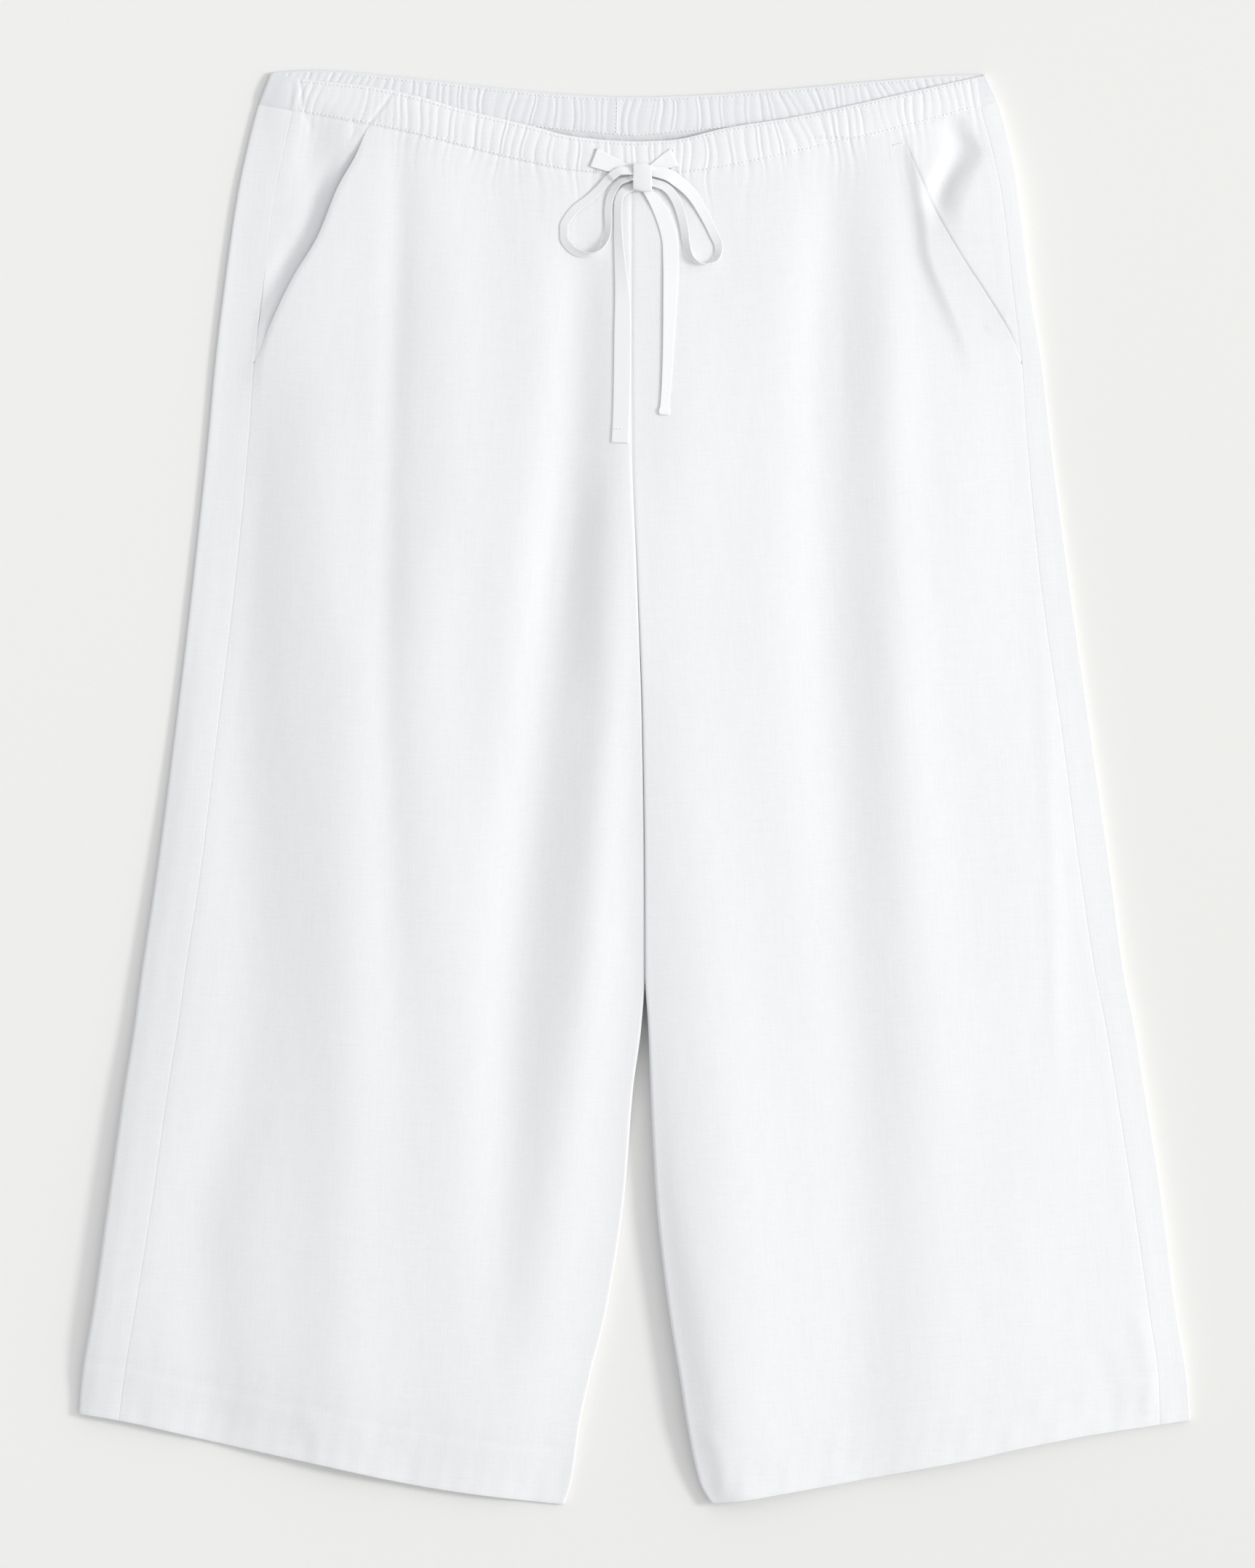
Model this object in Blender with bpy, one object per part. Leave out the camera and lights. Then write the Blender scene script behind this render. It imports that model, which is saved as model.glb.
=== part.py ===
"""Wide-leg capri trousers with a gathered drawstring waist, laid flat with the front upwards.

X runs to the right of the laid garment, Y from the hems to the waist and Z up from the table.
Every size below is in millimetres, and turns into metres only when a mesh is made. The origin is
on the table, under the middle of the garment.
"""
import bisect
import math

import bmesh
import bpy
from mathutils import Vector

MM = 0.001

# Cloth and seams
WALL = 1.0                  # one layer of a panel
CASING_WALL = 2.2           # the turned casing with its elastic
SEAM_GAP = 0.3              # free space between two pieces
LEG_GAP = 0.5               # free space where the two legs touch
REST_CLEARANCE = 0.3        # a tape lies this far above the panel that carries it
LEAST_STACK = 2 * WALL + SEAM_GAP + 0.6   # front panel on back panel, in the deepest trough

# Grids, in faces across and along a piece
ROWS = 22
ROW_CROWDING = 1.2          # over 1 puts more rows near the waist
FRONT_SPANS = 26
EDGE_STEPS = 3
FLAT_SPANS = 4
SIDE_SPANS = 2
POCKET_SPANS = 5
POCKET_ROWS = 7
LEG_MIDDLE = 150            # x where the search for a point of a leg's grid starts
SETTLE = 8                  # passes that fit a grid point between a curved waist and a curved hem

# Outline from the hems up: the outer folds, the side seams and the inner edges of the legs
OUTLINE_COLUMNS = ("y", "outer_left", "side_left", "inner_left", "inner_right", "side_right",
                   "outer_right")
OUTLINE = (
    (-421, -330, -307, -41.0, 45.6, 311, 331),
    (-408, -329, -306, -36.8, 38.3, 310, 330),
    (-372, -326, -302, -31.3, 30.5, 308, 326),
    (-348, -324, -299, -26.1, 26.8, 307, 324),
    (-306, -317, -292, -15.9, 20.0, 301, 317),
    (-242, -308, -282, -5.9, 12.8, 292, 309),
    (-178, -299, -273, -0.7, 9.4, 282, 299),
    (-140, -293, -267, 3.0, 8.4, 276, 293),
    (-110, -289, -263, 6.2, 6.2, 270, 287),
    (-50, -280, -254, 6.0, 6.0, 261, 279),
    (35, -269, -244, 4.8, 4.8, 250, 267),
    (120, -259, -234, 1.8, 1.8, 238, 255),
    (205, -250, -226, -1.5, -1.5, 230, 244),
    (248, -246, -223, -1.7, -1.7, 227, 239),
    (290, -241, -218, -1.7, -1.7, 222, 232),
    (346, -233, -211, -1.6, -1.6, 215, 225),
    (375, -227, -205, -1.4, -1.4, 209, 220),
    (398, -221, -200, -1.3, -1.3, 203, 214),
    (418, -213.5, -196, -1.3, -1.3, 200, 205),
)

# Curves across the garment: x, y
HEM_LEFT = ((-330, -367), (-302, -371.5), (-245, -384.5), (-186, -397), (-122, -410.5),
            (-77, -417), (-41, -421), (0, -423))
HEM_RIGHT = ((-5, -422), (46, -420), (95, -413), (151, -403), (195, -395), (229, -387.5),
             (273, -379.5), (307, -374.5), (331, -371))
BACK_TOP = ((-213.5, 419), (-188, 420.5), (-137, 416.5), (-86, 410.7), (-35, 406), (0, 404.7),
            (33, 405.6), (84, 409), (135, 413.5), (187, 417.5), (205, 418))
FRONT_TOP = ((-213.5, 419), (-196, 415.5), (-157, 411), (-125, 404.3), (-104, 398), (-60, 387.2),
             (-39, 381.8), (-18, 379.2), (0, 378.3), (19, 378.9), (56, 386.6), (93, 392.5),
             (135, 401.3), (178, 411), (205, 417))
FRONT_CASING_FOOT = ((-221, 400), (-194, 394.8), (-167, 389.8), (-135, 383.2), (-100, 374.5),
                     (-69, 366.8), (-34, 360), (0, 357.6), (35, 359.6), (72, 366), (109, 374.4),
                     (130, 379), (151, 384), (172, 389.6), (188, 394), (203, 398.3), (214, 401.5))
BACK_CASING_FOOT = (380.5, 0.092)   # y in the middle, and rise for each millimetre to the sides

# Slanted pocket mouths, from the casing down to the side seam: y, x
MOUTH_LEFT = ((249, -222.6), (274, -212), (299, -199.7), (321, -186.1), (351, -173.7),
              (370, -163.1), (385, -156.7), (395, -150.3))
MOUTH_RIGHT = ((249, 226.6), (262, 221.4), (289, 205.2), (305, 194.6), (333, 178), (355, 167.8),
               (377, 158.4), (395, 151))
MOUTH_FOOT = 249
UNDERLAP = (6.0, 9.0)       # how far a side panel reaches under the mouth, at the foot and the top
MOUTH_GAPE = {-1: 1.2, 1: 0.3}     # how far the side panel sinks below the mouth
MOUTH_LIFT = {-1: 0.8, 1: 1.2}     # how far the mouth itself stands up
MOUTH_LIFT_REACH = 16.0
MOUTH_FADE = 25.0           # the mouth opens over this length above its foot

# Loft of the upper layer and the radii of the rolled edges: y, loft, outer radius, inner radius
BODY_COLUMNS = ("y", "loft", "outer_radius", "inner_radius")
BODY = (
    (-421, 10.9, 7.0, 7.0),
    (-300, 10.6, 6.8, 6.6),
    (-180, 9.9, 6.4, 5.4),
    (-110, 9.4, 6.0, 4.6),
    (0, 8.6, 5.6, 4.0),
    (100, 7.7, 5.2, 3.5),
    (200, 6.9, 4.8, 3.0),
    (300, 6.3, 4.4, 3.0),
    (380, 6.1, 3.6, 3.0),
    (421, 6.0, 3.2, 3.0),
)
FORK_TOP = 205              # the groove between the legs starts here
FORK = 77                   # the crotch, under which each leg closes on its own inseam

# Long soft folds of the upper layer: y, x, height above the loft, half width
FOLD_COLUMNS = ("y", "x", "height", "width")
FOLD_DEPTH = 1.14
# How many times wider than its left side a fold's right side is
LONG_RIGHT_SIDE = {"left inner shelf": 3.0, "left mouth flank": 6.0, "right mouth flank": 12.0}
FOLDS = {
    "left outer trough": (
        (-421, -242, -2.2, 20), (-361, -246, -2.6, 22), (-263, -252, -2.4, 22),
        (-178, -232, -2.2, 24), (-93, -226, -2.4, 24), (-8, -227, -2.4, 23),
        (56, -227, -2.2, 22), (120, -228, -1.8, 19), (200, -228, -1.2, 17), (240, -229, -0.3, 14)),
    "left outer ridge": (
        (-421, -172, 1.4, 24), (-361, -173, 1.6, 24), (-263, -171, 2.2, 24),
        (-178, -167, 2.6, 24), (-93, -167, 2.6, 24), (56, -166, 2.2, 23), (120, -178, 1.6, 22),
        (200, -184, 1.1, 20), (260, -184, 0, 18)),
    "left groove": (
        (-180, -137, 0, 12), (-93, -140, -0.4, 11), (-8, -143, -0.6, 10), (56, -145, -0.8, 10),
        (179, -143, -1.0, 9), (282, -140, -1.1, 9), (340, -138, -1.0, 9), (385, -138, -0.4, 8)),
    "left middle ridge": (
        (-300, -110, 0, 26), (-93, -118, 1.2, 24), (56, -124, 1.6, 22), (120, -120, 1.7, 22),
        (179, -110, 1.7, 24), (282, -110, 1.5, 22), (380, -112, 0.4, 18)),
    "left inner trough": (
        (-421, -84, 0, 18), (-361, -84, -0.4, 18), (-320, -79, -1.2, 19), (-263, -76, -2.2, 19),
        (-205, -74, -2.8, 19), (-150, -72, -3.2, 19), (-93, -67, -3.5, 20), (-8, -58, -4.1, 20),
        (56, -51, -4.4, 19), (120, -45, -4.6, 17), (200, -36, -3.4, 16), (282, -33, -2.3, 15),
        (346, -32, 0, 15)),
    "left inner ridge": (
        (-421, -62, 0, 16), (-327, -60, 0.1, 18), (-263, -48, 0.7, 18), (-178, -37, 1.9, 18),
        (-93, -26, 2.4, 16), (-8, -20, 2.3, 14), (56, -14, 1.5, 12), (179, -9, 0.9, 12),
        (282, -8, 0.4, 12), (340, -8, 0, 12)),
    "left inner shelf": (
        (40, -18, 0, 14), (90, -17, 1.4, 14), (150, -15, 1.3, 13), (195, -13, 0, 12)),
    "right inner ridge": (
        (-421, 58, 2.6, 28), (-327, 52, 3.3, 32), (-263, 48, 3.5, 34), (-178, 42, 3.2, 34),
        (-93, 34, 2.9, 33), (-8, 27, 2.4, 31), (56, 25, 2.1, 30), (179, 24, 1.6, 27),
        (282, 22, 0.8, 22), (340, 20, 0, 18)),
    "right trough": (
        (-421, 130, -0.8, 22), (-320, 134, -1.1, 22), (-205, 130, -1.7, 23), (-93, 123, -2.3, 23),
        (30, 119, -2.9, 23), (150, 114, -3.4, 22), (250, 114, -3.5, 20), (320, 116, -2.4, 18),
        (380, 118, -0.5, 16)),
    "right ridge": (
        (-421, 188, 0.6, 26), (-263, 174, 1.0, 24), (-93, 164, 1.3, 22), (56, 156, 1.5, 18),
        (231, 151, 1.4, 15), (300, 150, 0.9, 14), (372, 146, 0, 12)),
    "right pocket valley": (
        (312, 176, 0, 7), (328, 176, -1.8, 7.5), (340, 177.5, -3.0, 8), (356, 184, -3.6, 8.5),
        (372, 193, -2.8, 8), (384, 190.5, -1.5, 7), (394, 188, -0.2, 6)),
    "right pocket ridge": (
        (316, 193, 0, 9), (328, 193, 0.9, 9), (340, 194, 1.5, 9), (356, 200, 1.8, 9),
        (370, 206, 1.3, 7), (384, 199, 0.5, 6), (394, 196, 0, 6)),
    "right mouth flank": (
        (236, 201, 0, 6), (261, 194, 0.9, 6), (287, 183, 1.8, 6), (312, 173.5, 2.4, 5.5),
        (333, 170, 2.4, 5.5), (352, 166, 1.8, 5), (374, 163, 0.8, 4.5), (386, 161, 0, 4)),
    "left mouth flank": (
        (225, -219, 0, 6), (250, -216, 1.2, 6), (280, -209.5, 2.1, 7), (310, -192.5, 2.2, 7),
        (340, -180, 2.3, 7.5), (358, -177.5, 1.6, 7.5), (372, -176, 1.1, 7), (390, -174, 0.4, 6)),
}

# Gathers of the casing
FRONT_GATHERS = 45
BACK_GATHERS = 48
FRONT_GATHER_STEPS = 4      # grid columns for each gather
BACK_GATHER_STEPS = 3
FRONT_GATHER_HEIGHT = 1.2
BACK_GATHER_HEIGHT = 0.9
GATHER_DRIFT = 0.34         # unevenness of their spacing, in gathers
PLAIN_PATCHES = ((-186, 11), (-144, 7), (146, 9))   # x and half width of the ungathered places
CASING_PUFF = 0.5           # crown of the casing between its edges
FRONT_CASING_ROWS = ((0.0, -0.5, 0.5), (0.12, 0.1, 0.9), (0.5, 0.5, 1.0), (0.88, 0.1, 0.9),
                     (1.0, -0.7, 0.35))             # place across, crown, share of the gathers
BACK_CASING_ROWS = ((0.0, -0.5, 0.5), (0.3, 0.0, 1.0), (0.75, 0.0, 1.0), (1.0, -0.6, 0.4))

# Drawstring: a flat tape tied in a bow
TAPE_WIDTH = 10.0
TAPE_THICKNESS = 1.0
TAPE_SPACING = 4.0
KNOT_CENTRE = (4.7, 356.2)
KNOT_SIZE = (11.0, 16.4, 6.4)
KNOT_ROUNDING = 0.07
# Routes from the knot outwards: x, y, lift above the cloth, turn of the tape in degrees, where
# 0 and 180 lie flat and 90 stands on edge, and the share of its width that isn't folded in
ROUTES = {
    "tie_loop_left": (
        (-1.1, 360.0, 1.6, 112, 0.42), (-7.4, 360.2, 1.6, 122, 0.5), (-13.4, 357.0, 1.2, 132, 0.54),
        (-20.4, 349.8, 0.6, 140, 0.56), (-27.4, 343.4, 0.2, 144, 0.57), (-34.2, 338.4, 0.1, 146, 0.57),
        (-38.6, 333.2, 0.1, 146, 0.57), (-41.2, 327.6, 0.1, 146, 0.57),
        (-41.2, 321.6, 0.1, 144, 0.57), (-38.2, 316.2, 0.1, 140, 0.56), (-32.8, 312.4, 0.1, 132, 0.55),
        (-27.0, 311.2, 0.1, 122, 0.54), (-21.8, 313.0, 0.1, 110, 0.52), (-17.8, 317.6, 0.1, 98, 0.5),
        (-15.8, 323.2, 0.1, 88, 0.5), (-15.2, 329.6, 0.1, 80, 0.5), (-15.4, 336.2, 0.2, 74, 0.5),
        (-14.8, 342.4, 0.4, 70, 0.5), (-12.4, 348.8, 0.8, 68, 0.5), (-8.2, 354.0, 1.3, 68, 0.46),
        (-1.2, 356.2, 1.5, 70, 0.42)),
    "tie_loop_right": (
        (11.0, 359.8, 2.4, 0, 0.6), (18.0, 358.4, 2.2, -5, 0.7), (25.8, 353.9, 1.6, -9, 0.74),
        (33.6, 346.8, 1.0, -11, 0.72), (40.2, 336.3, 0.6, -14, 0.66), (46.0, 324.6, 0.4, -24, 0.6),
        (49.4, 315.5, 0.3, -42, 0.56), (47.6, 308.6, 0.2, -64, 0.54), (40.6, 305.6, 0.2, -86, 0.52),
        (33.4, 309.4, 0.2, -108, 0.52), (30.4, 317.4, 0.2, -130, 0.54),
        (29.1, 327.2, 0.4, -150, 0.56), (26.6, 337.7, 0.8, -163, 0.58),
        (22.9, 345.8, 1.4, -170, 0.56), (17.2, 351.4, 1.8, -174, 0.5), (11.1, 353.4, 2.0, -177, 0.46)),
    "tie_tail_left": (
        (-0.8, 351.0, 0.2, 176, 0.5), (-5.2, 349.4, 0.2, 168, 0.54), (-8.4, 345.8, 0.2, 156, 0.58),
        (-9.6, 340.4, 0.1, 146, 0.58), (-9.7, 333.0, 0.0, 142, 0.58), (-9.4, 322.0, 0.0, 143, 0.6),
        (-8.6, 309.0, 0.0, 152, 0.68), (-7.4, 293.4, 0.0, 166, 0.82), (-6.8, 281.6, 0.0, 171, 0.94),
        (-6.9, 262.0, 0.0, 171, 1.0), (-7.2, 236.0, 0.0, 171, 1.0), (-7.7, 216.4, 0.0, 171, 1.0),
        (-8.5, 201.1, 0.0, 171, 1.0)),
    "tie_tail_right": (
        (8.4, 347.7, 0.3, 4, 0.55), (12.4, 342.4, 0.2, 2, 0.75), (16.6, 334.4, 0.1, 2, 0.9),
        (19.6, 325.8, 0.0, 3, 0.95), (21.2, 316.8, 0.0, 4, 0.95), (21.4, 303.8, 0.0, 5, 0.92),
        (21.0, 288.1, 0.0, 6, 0.84), (20.3, 268.6, 0.0, 7, 0.72), (19.5, 249.0, 0.0, 8, 0.62),
        (18.6, 233.4, 0.0, 8, 0.56), (17.7, 222.9, 0.0, 8, 0.52), (17.3, 217.4, 0.0, 8, 0.5)),
    "tie_stub_left": ((-1.0, 360.6, 0.0, 0, 0.5), (-7.6, 362.2, 0.0, 0, 0.7),
                      (-14.4, 364.6, 0.0, 0, 0.95), (-21.3, 367.3, 0.0, 0, 1.1)),
    "tie_stub_right": ((10.7, 362.0, 0.2, 0, 0.5), (14.0, 363.8, 0.1, 0, 0.65),
                       (17.4, 365.6, 0.0, 0, 0.85), (20.9, 367.2, 0.0, 0, 1.0)),
}

# Looks of the plain model
LINEN = {"name": "white linen", "color": (0.86, 0.87, 0.88, 1.0), "roughness": 0.85}
TAPE = {"name": "white tape", "color": (0.87, 0.88, 0.88, 1.0), "roughness": 0.8}


def mix(a, b, t):
    return a + (b - a) * t


def ease(t):
    """0 to 1 with soft ends."""
    t = min(1.0, max(0.0, t))
    return t * t * (3 - 2 * t)


def reader(rows, key=0, value=1):
    """A smooth function through two columns of a table, straight on past its ends."""
    pairs = sorted((row[key], row[value]) for row in rows)
    keys = [pair[0] for pair in pairs]
    values = [pair[1] for pair in pairs]
    steps = [(values[i + 1] - values[i]) / (keys[i + 1] - keys[i]) for i in range(len(keys) - 1)]
    tangents = [steps[0]]
    for before, after in zip(steps, steps[1:]):
        tangents.append(0.0 if before * after <= 0 else 2 * before * after / (before + after))
    tangents.append(steps[-1])

    def read(at):
        if at <= keys[0]:
            return values[0] + tangents[0] * (at - keys[0])
        if at >= keys[-1]:
            return values[-1] + tangents[-1] * (at - keys[-1])
        i = bisect.bisect_right(keys, at) - 1
        gap = keys[i + 1] - keys[i]
        t = (at - keys[i]) / gap
        rise = values[i + 1] - values[i]
        bend_in = gap * tangents[i] - rise
        bend_out = rise - gap * tangents[i + 1]
        return values[i] + t * rise + t * (1 - t) * ((1 - t) * bend_in + t * bend_out)

    return read


def column_readers(names, rows):
    """One reader for each named column, against the first column."""
    return {name: reader(rows, 0, i) for i, name in enumerate(names) if i}


OUTLINE_AT = column_readers(OUTLINE_COLUMNS, OUTLINE)
BODY_AT = column_readers(BODY_COLUMNS, BODY)
FOLDS_AT = [(rows[0][0], rows[-1][0], LONG_RIGHT_SIDE.get(name, 1.0),
             column_readers(FOLD_COLUMNS, rows)) for name, rows in FOLDS.items()]
HEM_AT = {-1: reader(HEM_LEFT), 1: reader(HEM_RIGHT)}
MOUTH_AT = {-1: reader(MOUTH_LEFT), 1: reader(MOUTH_RIGHT)}
BACK_TOP_AT = reader(BACK_TOP)
FRONT_TOP_AT = reader(FRONT_TOP)
FRONT_FOOT_AT = reader(FRONT_CASING_FOOT)
SIDE_NAME = {-1: "left", 1: "right"}


def back_foot(x):
    """The foot of the back casing, in two straight runs that meet at the centre seam."""
    return BACK_CASING_FOOT[0] + BACK_CASING_FOOT[1] * abs(x)


def outer_x(side, y):
    return OUTLINE_AT["outer_" + SIDE_NAME[side]](y)


def side_seam_x(side, y):
    return OUTLINE_AT["side_" + SIDE_NAME[side]](y)


def inner_x(side, y):
    """The inner edge of a leg, or its side of the centre seam above the crotch."""
    gap = LEG_GAP if y < FORK else SEAM_GAP
    return OUTLINE_AT["inner_" + SIDE_NAME[side]](y) + side * gap / 2


def front_start_x(side, y):
    """The front panel begins at the pocket mouth, and below it at the side seam."""
    seam = side_seam_x(side, y) - side * SEAM_GAP / 2
    if y <= MOUTH_FOOT:
        return seam
    return MOUTH_AT[side](y)


def fork_share(y):
    """0 where left and right panels join at the centre seam, 1 where the legs are separate."""
    return ease((FORK_TOP - y) / (FORK_TOP - FORK))


def roundness(distance, radius):
    """Height share of a rolled edge: 0 at the edge, 1 from one radius inwards."""
    t = min(1.0, max(0.0, 1 - distance / radius))
    return math.sqrt(1 - t * t)


def stack_height(x, y):
    """The upper layer before its edges roll down."""
    height = BODY_AT["loft"](y)
    for low, high, long_right, at in FOLDS_AT:
        if low <= y <= high:
            offset = (x - at["x"](y)) / at["width"](y)
            if offset > 0:
                offset /= long_right
            height += FOLD_DEPTH * at["height"](y) * math.exp(-offset * offset)
    return max(LEAST_STACK, height)


def edge_drops(side, x, y):
    """How far the outer fold and the inner edge have rolled down at a place, 0 to 1."""
    outer = 1 - roundness(side * (outer_x(side, y) - x), BODY_AT["outer_radius"](y))
    inner = 1 - roundness(side * (x - inner_x(side, y)), BODY_AT["inner_radius"](y))
    return outer, inner * fork_share(y)


def top_height(side, x, y):
    """The upper face of the garment."""
    outer, inner = edge_drops(side, x, y)
    return stack_height(x, y) * (1 - 0.5 * outer - 0.5 * inner)


def under_height(side, x, y):
    """The lower face: flat on the table, rising to half height at the rolled edges."""
    outer, inner = edge_drops(side, x, y)
    return stack_height(x, y) * 0.5 * (outer + inner)


def settle(x, side_x, y_from, y_to, share):
    """Find the point of a column that lies a share of the way between two curved edges."""
    for _ in range(SETTLE):
        y = mix(y_from(x), y_to(x), share)
        x = side_x(y)
    return x, y


def row_shares(count):
    return [(i / count) ** ROW_CROWDING for i in range(count + 1)]


def grid_normal(grid, row, column):
    """The normal of a grid of points, from the neighbours of one of them."""
    last_row = len(grid) - 1
    last_column = len(grid[0]) - 1
    across = grid[row][min(column + 1, last_column)] - grid[row][max(column - 1, 0)]
    along = grid[min(row + 1, last_row)][column] - grid[max(row - 1, 0)][column]
    return across.cross(along).normalized()


def moved_in(grid, depth, turn, end_normals=None):
    """The grid moved into the cloth, where turn says which way its normals point."""
    moved = []
    for r, row in enumerate(grid):
        line = []
        for c, point in enumerate(row):
            normal = grid_normal(grid, r, c) * turn
            if end_normals and c in end_normals:
                normal = end_normals[c](point)
            line.append(point - normal * depth(r, c))
        moved.append(line)
    return moved


def quad_rows(first, width, height):
    for r in range(height - 1):
        for c in range(width - 1):
            a = first + r * width + c
            yield (a, a + 1, a + width + 1, a + width)


def closed_cloth(name, outer, inner, material):
    """A closed wall between two grids with equal columns. The inner one may have only 2 rows."""
    width = len(outer[0])
    outer_rows = len(outer)
    inner_rows = len(inner)
    start = width * outer_rows
    points = [p for row in outer for p in row] + [p for row in inner for p in row]
    faces = list(quad_rows(0, width, outer_rows))
    faces += [tuple(reversed(face)) for face in quad_rows(start, width, inner_rows)]
    last_outer = (outer_rows - 1) * width
    last_inner = start + (inner_rows - 1) * width
    for c in range(width - 1):
        faces.append((c, start + c, start + c + 1, c + 1))
        faces.append((last_outer + c, last_outer + c + 1, last_inner + c + 1, last_inner + c))
    for c in (0, width - 1):
        outer_side = [r * width + c for r in range(outer_rows)]
        inner_side = [start + r * width + c for r in range(inner_rows)]
        if outer_rows == inner_rows:
            for r in range(outer_rows - 1):
                faces.append((outer_side[r], outer_side[r + 1], inner_side[r + 1], inner_side[r]))
        else:
            faces.append(tuple(outer_side + inner_side[::-1]))
    return mesh_object(name, points, faces, material)


def mesh_object(name, points, faces, material):
    mesh = bpy.data.meshes.new(name)
    mesh.from_pydata([tuple(p * MM) for p in points], [], faces)
    work = bmesh.new()
    work.from_mesh(mesh)
    bmesh.ops.recalc_face_normals(work, faces=work.faces)
    bmesh.ops.triangulate(work, faces=work.faces)
    work.to_mesh(mesh)
    work.free()
    mesh.materials.append(material)
    mesh.shade_smooth()
    mesh.set_sharp_from_angle(angle=math.radians(50))
    piece = bpy.data.objects.new(name, mesh)
    bpy.context.scene.collection.objects.link(piece)
    return piece


def edge_angles(count, rising):
    """Angles of a rolled edge, from its tip when rising, or back to its tip."""
    angles = [math.pi / 2 * i / count for i in range(count + 1)]
    return angles if rising else angles[::-1]


def front_panel(side, material):
    """Front of one leg, from the mouth or side seam to the centre seam and the inseam."""
    tips = edge_angles(EDGE_STEPS, rising=False)
    columns = [("span", i / FRONT_SPANS) for i in range(FRONT_SPANS)]
    columns += [("tip", angle) for angle in tips]

    def column_x(column, y):
        kind, amount = column
        radius = BODY_AT["inner_radius"](y)
        inner = inner_x(side, y)
        if kind == "tip":
            return inner + side * radius * (1 - math.cos(amount))
        return mix(front_start_x(side, y), inner + side * radius, amount)

    def point(column, share):
        x, y = settle(side * LEG_MIDDLE, lambda at: column_x(column, at),
                      lambda at: FRONT_FOOT_AT(at) - SEAM_GAP / 2, HEM_AT[side], share)
        z = top_height(side, x, y) + mouth_lift(side, x, y) + SEAM_GAP / 2 * fork_share(y)
        return Vector((x, y, z))

    grid = [[point(column, share) for column in columns] for share in row_shares(ROWS)]
    last = len(columns) - 1
    inner = moved_in(grid, lambda r, c: WALL, side,
                     {last: lambda p: tip_normal(side, p, 1)})
    return closed_cloth(f"front_{SIDE_NAME[side]}", grid, inner, material)


def tip_normal(side, point, up):
    """At the inner edge the cloth turns from level at the centre seam to upright on the leg."""
    share = fork_share(point.y)
    return Vector((-side * share, 0, up * (1 - share))).normalized()


def mouth_lift(side, x, y):
    """The front panel stands up a little along its pocket mouth."""
    distance = side * (MOUTH_AT[side](y) - x)
    fade = ease((y - MOUTH_FOOT) / MOUTH_FADE)
    return MOUTH_LIFT[side] * fade * math.exp(-max(0.0, distance) / MOUTH_LIFT_REACH)


def back_panel(side, material):
    """Back of one leg: flat on the table, round the outer fold and on top to the side seam."""
    columns = [("under tip", angle) for angle in edge_angles(EDGE_STEPS, rising=True)]
    columns += [("flat", i / FLAT_SPANS) for i in range(1, FLAT_SPANS)]
    columns += [("under fold", angle) for angle in edge_angles(EDGE_STEPS, rising=False)]
    columns += [("over fold", angle) for angle in edge_angles(EDGE_STEPS, rising=True)[1:]]
    columns += [("side", i / SIDE_SPANS) for i in range(1, SIDE_SPANS + 1)]

    def column_x(column, y):
        kind, amount = column
        inner_radius = BODY_AT["inner_radius"](y)
        outer_radius = BODY_AT["outer_radius"](y)
        inner = inner_x(side, y)
        outer = outer_x(side, y)
        if kind == "under tip":
            return inner + side * inner_radius * (1 - math.cos(amount))
        if kind == "flat":
            return mix(inner + side * inner_radius, outer - side * outer_radius, amount)
        if kind in ("under fold", "over fold"):
            return outer - side * outer_radius * (1 - math.cos(amount))
        seam = side_seam_x(side, y) + side * SEAM_GAP / 2
        return mix(outer - side * outer_radius, seam, amount)

    def point(column, share):
        over = column[0] in ("over fold", "side")
        foot = FRONT_FOOT_AT if over else back_foot
        x, y = settle(side * LEG_MIDDLE, lambda at: column_x(column, at),
                      lambda at: foot(at) - SEAM_GAP / 2, HEM_AT[side], share)
        if over:
            z = top_height(side, x, y)
        else:
            z = under_height(side, x, y)
            if column[0] == "under tip":
                z -= SEAM_GAP / 2 * fork_share(y) * math.cos(column[1])
                z = max(0.0, z)
        return Vector((x, y, z))

    grid = [[point(column, share) for column in columns] for share in row_shares(ROWS)]
    inner = moved_in(grid, lambda r, c: WALL, side,
                     {0: lambda p: tip_normal(side, p, -1)})
    return closed_cloth(f"back_{SIDE_NAME[side]}", grid, inner, material)


def side_panel(side, material):
    """The piece behind a pocket mouth, from the side seam to a little under the front panel."""
    columns = [i / POCKET_SPANS for i in range(POCKET_SPANS + 1)]

    def point(column, share):
        def column_x(y):
            reach = (y - MOUTH_FOOT) / (MOUTH_LEFT[-1][0] - MOUTH_FOOT)
            start = side_seam_x(side, y) - side * SEAM_GAP / 2
            end = MOUTH_AT[side](y) - side * mix(UNDERLAP[0], UNDERLAP[1], reach)
            return mix(start, end, column)

        x, y = settle(side * LEG_MIDDLE, column_x, lambda at: FRONT_FOOT_AT(at) - SEAM_GAP / 2,
                      lambda at: MOUTH_FOOT, share)
        seam = side_seam_x(side, y)
        reach = (x - seam) / (MOUTH_AT[side](y) - seam)
        open_share = ease(reach) * ease((y - MOUTH_FOOT) / MOUTH_FADE)
        sunk = WALL + SEAM_GAP + MOUTH_GAPE[side] * open_share
        return Vector((x, y, top_height(side, x, y) - sunk))

    grid = [[point(column, i / POCKET_ROWS) for column in columns]
            for i in range(POCKET_ROWS + 1)]
    inner = moved_in(grid, lambda r, c: WALL, side)
    return closed_cloth(f"side_panel_{SIDE_NAME[side]}", grid, inner, material)


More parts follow.
